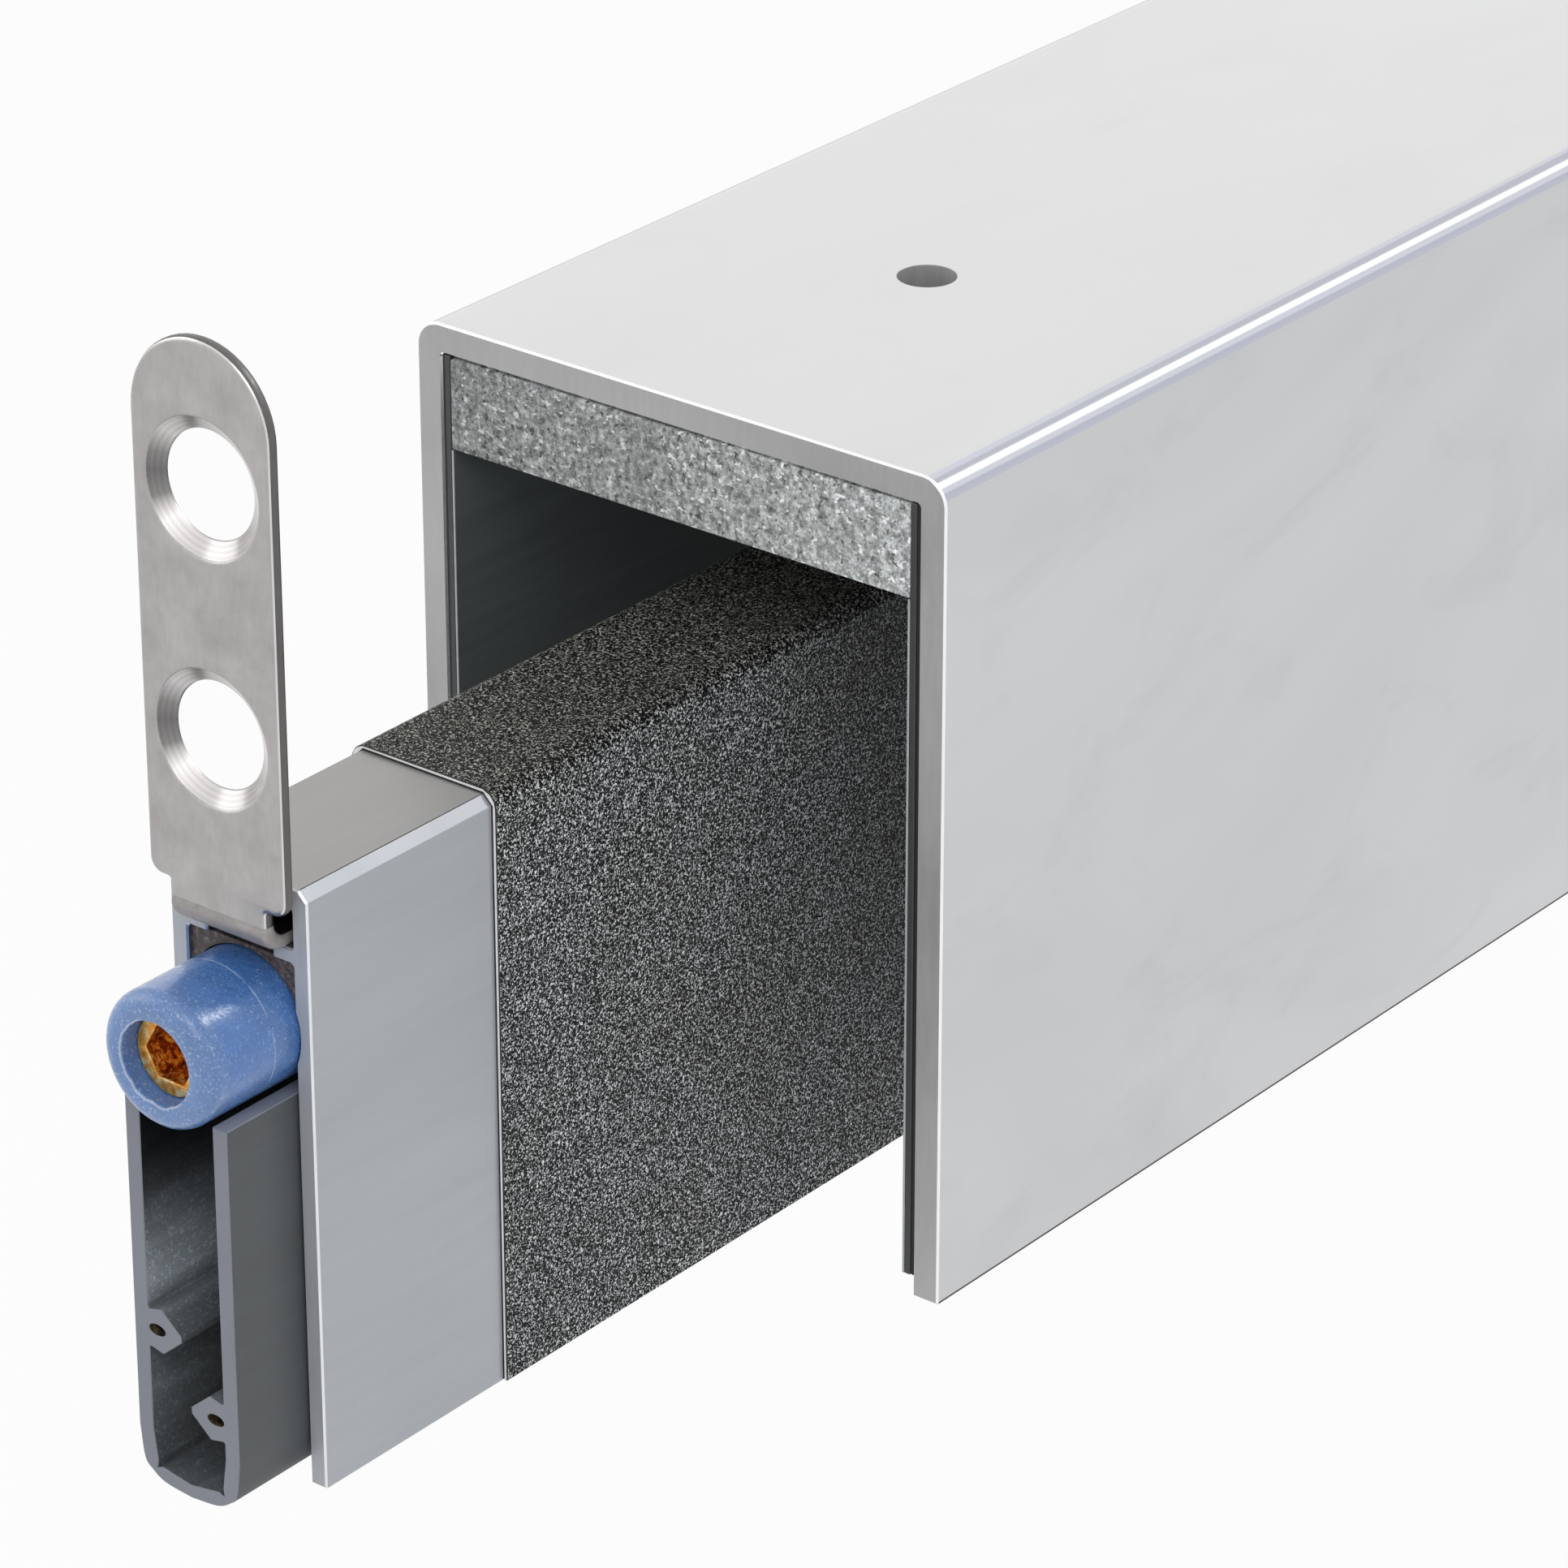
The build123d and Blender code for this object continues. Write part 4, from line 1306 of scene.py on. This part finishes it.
class DOORSEAL_OT_plunger(bpy.types.Operator):
    """Make the blue plunger"""

    bl_idname = "door_seal.plunger"
    bl_label = "Plunger"

    def execute(self, context):
        s = sizes()
        radius = (plunger_high.x - plunger_low.x) / 2
        bore = (screw_high.x - screw_low.x) / 2 + 0.05 * MM
        shank = s.screw_shank + 0.05 * MM
        front, back = plunger_low.y, plunger_high.y
        head_end = screw_low.y + s.screw_head + 0.05 * MM
        rim, rim_steps = s.plunger_rim, 8
        bends = [step / rim_steps * math.pi / 2 for step in range(rim_steps + 1)]
        profile = [
            (front + rim * (1 - math.sin(bend)), radius - rim * (1 - math.cos(bend)))
            for bend in bends
        ]
        profile += [
            (front + 0.01 * MM, bore + 0.17 * MM),
            (front + 0.05 * MM, bore + 0.05 * MM),
            (front + 0.16 * MM, bore + 0.01 * MM),
            (front + 0.45 * MM, bore),
            (head_end, bore),
            (head_end, shank),
            (back, shank),
            (back, radius - 0.3 * MM),
            (back - 0.3 * MM, radius),
        ]
        for mark in reversed(RING_MARKS):
            for shift, depth in ((0.06 * MM, 0.0), (0.0, 0.035 * MM), (-0.06 * MM, 0.0)):
                profile.append((front + mark + shift, radius - depth))
        dice = random.Random(5)
        waves = [
            (dice.randint(3, 19), dice.uniform(0, math.tau), dice.uniform(0.2, 1.0))
            for _ in range(9)
        ]

        def ragged(angle):
            """1 on the left and under the bore, 0 at its upper right."""
            return max(0.0, min(1.0, (math.cos(angle - math.radians(215)) + 0.25) * 2))

        def wobble(y, reach, angle):
            """A ragged edge where the bore opens, and a trace of unevenness on the rim."""
            sway = sum(size * math.sin(count * angle + start) for count, start, size in waves) / 4
            if reach < bore + 0.2 * MM and y < front + 0.2 * MM:
                return 0.14 * MM * sway * ragged(angle)
            return 0.006 * MM * sway if reach > bore + 0.2 * MM else 0.0

        body, lip, bore_wall = 0, 1, 2

        def paint(number, angle):
            past_rim = number - rim_steps - 1
            if past_rim in (2, 3):
                return bore_wall
            return lip if past_rim in (0, 1) and ragged(angle) > 0.2 else body

        bm = bmesh.new()
        lathe(bm, profile, AXIS_Z, 128, paint, wobble)
        finishes = [
            waxy_blue("waxy_blue", colours().blue, True, 0.7),
            waxy_blue("chalky_lip", (0.42, 0.54, 0.78), False, 0.7),
            waxy_blue("bore_blue", (0.12, 0.27, 0.60), False, 0.0),
        ]
        piece = shaded_object("plunger_body", bm, finishes)
        settle(piece, "plunger_rod", "plunger_plastic", "plunger")
        return {"FINISHED"}


class DOORSEAL_OT_screw(bpy.types.Operator):
    """Make the brass adjusting screw with its hexagon socket"""

    bl_idname = "door_seal.screw"
    bl_label = "Adjusting screw"

    def execute(self, context):
        s = sizes()
        radius = (screw_high.x - screw_low.x) / 2
        front, back = screw_low.y, screw_high.y
        edge, tip = 0.12 * MM, 0.4 * MM
        corner = s.screw_socket / math.sqrt(3)
        angles = [step * math.pi / 3 for step in range(6)]
        corners = [(corner * math.cos(a), AXIS_Z + corner * math.sin(a), edge) for a in angles]
        brass, amber = 0, 1

        def paint(middle, normal):
            return amber if (middle - Vector((0.0, AXIS_Z))).length < radius * 0.9 else brass

        bm = bmesh.new()
        loops = [circle(0.0, AXIS_Z, radius, 72), rounded(corners, 3)]
        socket_end = front + s.socket_depth
        extrude(bm, loops, front, socket_end, edge, ONE_FINISH, steps=2, paint=paint)
        head_end = front + s.screw_head
        barrel = radius - 0.02 * MM
        profile = [
            (socket_end - 0.25 * MM, 0),
            (socket_end - 0.25 * MM, radius - 0.1 * MM),
            (socket_end - 0.20 * MM, barrel),
            (head_end, barrel),
            (head_end, s.screw_shank),
            (back - tip, s.screw_shank),
            (back, s.screw_shank - tip),
            (back, 0),
        ]
        lathe(bm, profile, AXIS_Z, 48, lambda number, angle: brass if number else amber)
        piece = shaded_object("adjusting_screw_brass", bm, [turned_brass(), amber_socket()])
        settle(piece, "adjuster", "screw_brass", "adjusting_screw")
        return {"FINISHED"}


class DOORSEAL_OT_drive(bpy.types.Operator):
    """Make the rod's finish, the links, their pins and the return spring"""

    bl_idname = "door_seal.drive"
    bl_label = "Rod, links and spring"

    def pins(self, name, body, nodes, zinc):
        """Both pins of one kind, as one piece."""
        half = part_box(nodes[0])[1].x
        section = [circle(0.0, 0.0, sizes().pin_radius, 28)], -half, half, 0.15 * MM, ONE_FINISH
        pattern = extruded("pin_pattern", [zinc], *section, steps=2, place=along_x)
        settle(grown_pair(name, pattern, nodes, zinc), body, "link_steel", *nodes)

    def link(self, name, zinc):
        """One link, with an eye for its upper pin and a slot for its lower one."""
        s = sizes()
        low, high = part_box(f"{name}_link")
        centres = []
        for pin in ("upper", "lower"):
            pin_low, pin_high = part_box(f"{name}_{pin}_pin")
            middle = (pin_low + pin_high) / 2
            centres.append(Vector((middle.y, middle.z)))
        start, pin = centres
        run = (pin - start).normalized()
        end = start + run * s.link_length
        slack = s.pin_radius + PIN_PLAY
        loops = [
            long_hole(start, end, s.link_width / 2, 16),
            circle(start.x, start.y, slack, 28),
            long_hole(start + run * (s.link_length - SLOT_PLAY), end, slack, 12),
        ]
        section = loops, low.x, high.x, 0.12 * MM, ONE_FINISH
        piece = extruded(f"{name}_link_plate", [zinc], *section, steps=2, place=along_x)
        settle(piece, f"{name}_swing_link", "link_steel", f"{name}_link")

    def spring(self, zinc):
        """The return spring, one coil at rest; in the real seal the plunger's travel squashes it.
        """
        s = sizes()
        wire = s.spring_wire / 2
        space = spring_high.y - spring_low.y
        values = {
            "Turns": float(s.spring_turns),
            "Coil radius": s.spring_coil,
            "Wire radius": wire,
            "Length": space - 2 * wire,
            "Start": (0.0, spring_low.y + wire, AXIS_Z),
            "Finish": zinc,
        }
        coil = grown("spring_coil", coil_tree(), values)
        coil.data.shade_smooth()
        settle(coil, "frame", "spring_steel", "return_spring")
        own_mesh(coil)

    def execute(self, context):
        zinc = brushed("zinc_steel", colours().zinc)
        dress(satin("drawn_rod", (0.36, 0.37, 0.385)), "push_rod")
        dress(zinc, "spring_collar")
        for name in ("front", "rear"):
            self.link(name, zinc)
        for name, body in (("upper", "plunger_rod"), ("lower", "seal_carriage")):
            self.pins(f"{name}_pins", body, [f"front_{name}_pin", f"rear_{name}_pin"], zinc)
        self.spring(zinc)
        return {"FINISHED"}


class DOORSEAL_OT_seal(bpy.types.Operator):
    """Make the soft seal profile with its ribs"""

    bl_idname = "door_seal.seal"
    bl_label = "Seal profile"

    def wall(self, side):
        """Inside of one wall from its top down to the floor, with its rib."""
        s = sizes()
        inner = seal_high.x - s.seal_wall
        height = seal_low.z + (s.left_rib if side < 0 else s.right_rib)
        neck, head, nose = 1.5 * MM, 1.8 * MM, 0.25 * MM
        knee, tip = inner - s.rib_reach * 0.42, inner - s.rib_reach
        floor = seal_low.z + s.seal_floor + 0.45 * MM
        notch = inner - 0.35 * MM
        corners = [
            (inner, seal_high.z, 0.06 * MM),
            (inner, height + neck, 0.15 * MM),
            (knee, height + head, 0.15 * MM),
            (tip, height + nose, 0.18 * MM),
            (tip, height - nose, 0.18 * MM),
            (knee, height - head, 0.15 * MM),
            (inner, height - neck, 0.15 * MM),
            (inner, seal_low.z + s.foot_height, 0.6 * MM),
            (notch, floor + 0.45 * MM, 0.1 * MM),
            (notch + 0.1 * MM, floor - 0.2 * MM, 0.0),
            (notch - 0.45 * MM, floor, 0.1 * MM),
        ]
        return [(side * across, up, radius) for across, up, radius in corners]

    def execute(self, context):
        s = sizes()
        half = (seal_high.x - seal_low.x) / 2
        bottom, top = seal_low.z, seal_high.z
        shares = ((1, 1), (0.925, 0.40), (0.775, 0.21), (0.51, 0.06), (0, 0))
        foot = [Vector((-half * a, bottom + s.foot_height * b)) for a, b in shares]
        left_foot = curve_through(foot, 5)
        right_foot = [Vector((-p.x, p.y)) for p in left_foot[-2::-1]]
        corners = [
            (-half, top, 0.06 * MM),
            *[(p.x, p.y, 0.0) for p in (*left_foot, *right_foot)],
            (half, top, 0.06 * MM),
            *self.wall(1),
            (0.0, bottom + s.seal_floor, 0.8 * MM),
            *self.wall(-1)[::-1],
        ]
        inner = half - s.seal_wall
        hole_x = inner - s.rib_reach * 0.26
        hole = 0.8 * MM
        holes = [(-hole_x, bottom + s.left_rib), (hole_x, bottom + s.right_rib)]
        cut_slot, inside_slot, hole_shade_slot = 1, 2, 3

        def paint(middle, normal):
            if any((middle - Vector(spot)).length < hole + 0.05 * MM for spot in holes):
                return hole_shade_slot
            if middle.y > top - 0.2 * MM:
                return cut_slot
            above_floor = middle.y > bottom + s.seal_floor - 0.1 * MM
            return inside_slot if above_floor and abs(middle.x) < inner + 0.1 * MM else SIDE

        bm = bmesh.new()
        loops = [rounded(corners, 3), *[circle(x, z, hole, 24, 0.56) for x, z in holes]]
        start, end = seal_low.y, seal_high.y
        extrude(bm, loops, start, end, 0.06 * MM, TWO_FINISHES, rows=60, paint=paint)
        sway, waves_along, waves_up = 0.05 * MM, 190, 300
        for vert in bm.verts:
            _, y, z = vert.co
            high_up = max(0.0, (z - bottom) / (top - bottom))
            vert.co.x += sway * high_up * math.sin(y * waves_along) * math.sin(z * waves_up)
        finishes = [rubber(), cut_rubber(), inner_rubber(), hollow()]
        piece = shaded_object("seal_rubber_profile", bm, finishes)
        settle(piece, "seal_carriage", "seal_rubber", "seal_profile")
        return {"FINISHED"}


class DOORSEAL_OT_guides(bpy.types.Operator):
    """Finish the rail and the guides inside the housing"""

    bl_idname = "door_seal.guides"
    bl_label = "Rail and guides"

    def execute(self, context):
        dress(satin("mill_rail", (0.34, 0.345, 0.355)), "carrier_rail")
        dress(moulding(), "plunger_saddle", "front_guide_block", "rear_guide_block")
        return {"FINISHED"}


class DOORSEAL_OT_stage(bpy.types.Operator):
    """Set the floor, the lamps, the white surround and the camera"""

    bl_idname = "door_seal.stage"
    bl_label = "Studio"

    def surface(self, tree, kind, lit, seen, share=1.0):
        """One shader for the light on the object, another for what the camera and mirrors see."""
        rays = add_node(tree, "ShaderNodeLightPath").outputs
        both = {0: rays["Is Camera Ray"], 1: rays["Is Glossy Ray"]}
        either = add_node(tree, "ShaderNodeMath", both, operation="MAXIMUM")
        every = {0: either, 1: rays["Is Transmission Ray"]}
        factor = add_node(tree, "ShaderNodeMath", every, operation="MAXIMUM")
        if share < 1:
            factor = add_node(tree, "ShaderNodeMath", {0: factor, 1: share}, operation="MULTIPLY")
        mix = add_node(tree, "ShaderNodeMixShader", {"Fac": factor, 1: lit, 2: seen})
        add_node(tree, f"ShaderNodeOutput{kind}", {"Surface": mix})

    def surround(self):
        """White world, softer as a light than as a background."""
        world = bpy.data.worlds.new("surround")
        bpy.context.scene.world = world
        world.use_nodes = True
        tree = world.node_tree
        tree.nodes.clear()
        white = (1.0, 1.0, 1.0, 1.0)
        soft = add_node(tree, "ShaderNodeBackground", {"Color": white, "Strength": 0.62})
        bright = add_node(tree, "ShaderNodeBackground", {"Color": white, "Strength": 1.0})
        self.surface(tree, "World", soft, bright)

    def floor(self):
        """Wide floor below the object, nearly as white as the surround to the camera."""
        reach, drop = 4.0, 0.30
        bm = bmesh.new()
        corners = [(-reach, -reach), (reach, -reach), (reach, reach), (-reach, reach)]
        bm.faces.new([bm.verts.new((x, y, -drop)) for x, y in corners])
        material = bpy.data.materials.new("pale_floor")
        material.use_nodes = True
        tree = material.node_tree
        tree.nodes.clear()
        matt = add_node(tree, "ShaderNodeBsdfDiffuse", {"Color": (0.86, 0.86, 0.86, 1.0)})
        glow = add_node(tree, "ShaderNodeEmission", {"Color": (1.0, 1.0, 1.0, 1.0)})
        self.surface(tree, "Material", matt, glow, 0.9)
        new_object("studio_floor", bm, [material])

    def lamp(self, name, place, size, power):
        light = bpy.data.lights.new(name, "AREA")
        light.shape = "SQUARE"
        light.size = size
        light.energy = power
        lamp = bpy.data.objects.new(name, light)
        bpy.context.scene.collection.objects.link(lamp)
        lamp.location = place
        target = Vector((0.0, 0.0, -0.03))
        aim = target - Vector(place)
        lamp.rotation_euler = aim.to_track_quat("-Z", "Y").to_euler()

    def camera(self):
        """The photograph's viewpoint: a long lens from the front right, looking a little down."""
        turn, fall = 0.673, 0.455
        right_shift, up_shift, distance = -8.016 * MM, 28.219 * MM, 503.241 * MM
        focal_pixels, frame_pixels = 8500, 1932
        sin_turn, cos_turn = math.sin(turn), math.cos(turn)
        sin_fall, cos_fall = math.sin(fall), math.cos(fall)
        right = Vector((cos_turn, sin_turn, 0.0))
        up = Vector((-sin_turn * sin_fall, cos_turn * sin_fall, cos_fall))
        ahead = Vector((-sin_turn * cos_fall, cos_turn * cos_fall, -sin_fall))
        data = bpy.data.cameras.new("photo_camera")
        data.sensor_width = 36.0
        data.lens = focal_pixels / frame_pixels * data.sensor_width
        data.clip_start = 0.01
        data.clip_end = 50.0
        camera = bpy.data.objects.new("photo_camera", data)
        bpy.context.scene.collection.objects.link(camera)
        place = -(right * right_shift + up * up_shift + ahead * distance)
        axes = Matrix((right, up, -ahead)).transposed().to_4x4()
        camera.matrix_world = Matrix.Translation(place) @ axes
        bpy.context.scene.camera = camera

    def execute(self, context):
        self.surround()
        self.floor()
        self.lamp("key_lamp", (0.55, -0.75, 0.95), 0.7, 3.2)
        self.lamp("back_lamp", (-0.65, 0.80, 0.55), 1.1, 1.05)
        self.lamp("edge_lamp", (0.54, 0.96, 0.93), 0.24, 3.4)
        self.lamp("side_lamp", (-0.95, -0.45, 0.45), 0.7, 1.6)
        self.camera()
        context.scene.view_settings.view_transform = "Standard"
        return {"FINISHED"}


class DOORSEAL_PT_panel(bpy.types.Panel):
    """Sidebar panel with the pieces and the studio"""

    bl_idname = "DOORSEAL_PT_panel"
    bl_label = "Door seal"
    bl_space_type = "VIEW_3D"
    bl_region_type = "UI"
    bl_category = "Door seal"

    def draw(self, context):
        for operator in OPERATORS:
            self.layout.operator(operator.bl_idname, text=operator.bl_label)
        for group in (context.scene.door_seal_sizes, context.scene.door_seal_colours):
            box = self.layout.box()
            for name in group.__annotations__:
                box.prop(group, name)


OPERATORS = (
    DOORSEAL_OT_channel,
    DOORSEAL_OT_board,
    DOORSEAL_OT_liners,
    DOORSEAL_OT_sleeve,
    DOORSEAL_OT_housing,
    DOORSEAL_OT_brackets,
    DOORSEAL_OT_plunger,
    DOORSEAL_OT_screw,
    DOORSEAL_OT_drive,
    DOORSEAL_OT_seal,
    DOORSEAL_OT_guides,
    DOORSEAL_OT_stage,
)
CLASSES = (DoorSealSizes, DoorSealColours, *OPERATORS, DOORSEAL_PT_panel)


def register():
    for item in CLASSES:
        bpy.utils.register_class(item)
    bpy.types.Scene.door_seal_sizes = PointerProperty(type=DoorSealSizes)
    bpy.types.Scene.door_seal_colours = PointerProperty(type=DoorSealColours)


def unregister():
    del bpy.types.Scene.door_seal_colours
    del bpy.types.Scene.door_seal_sizes
    for item in reversed(CLASSES):
        bpy.utils.unregister_class(item)


def main():
    """Makes every piece and the studio."""
    register()
    for operator in OPERATORS:
        group, _, name = operator.bl_idname.partition(".")
        getattr(getattr(bpy.ops, group), name)()


if __name__ == "__main__":
    main()
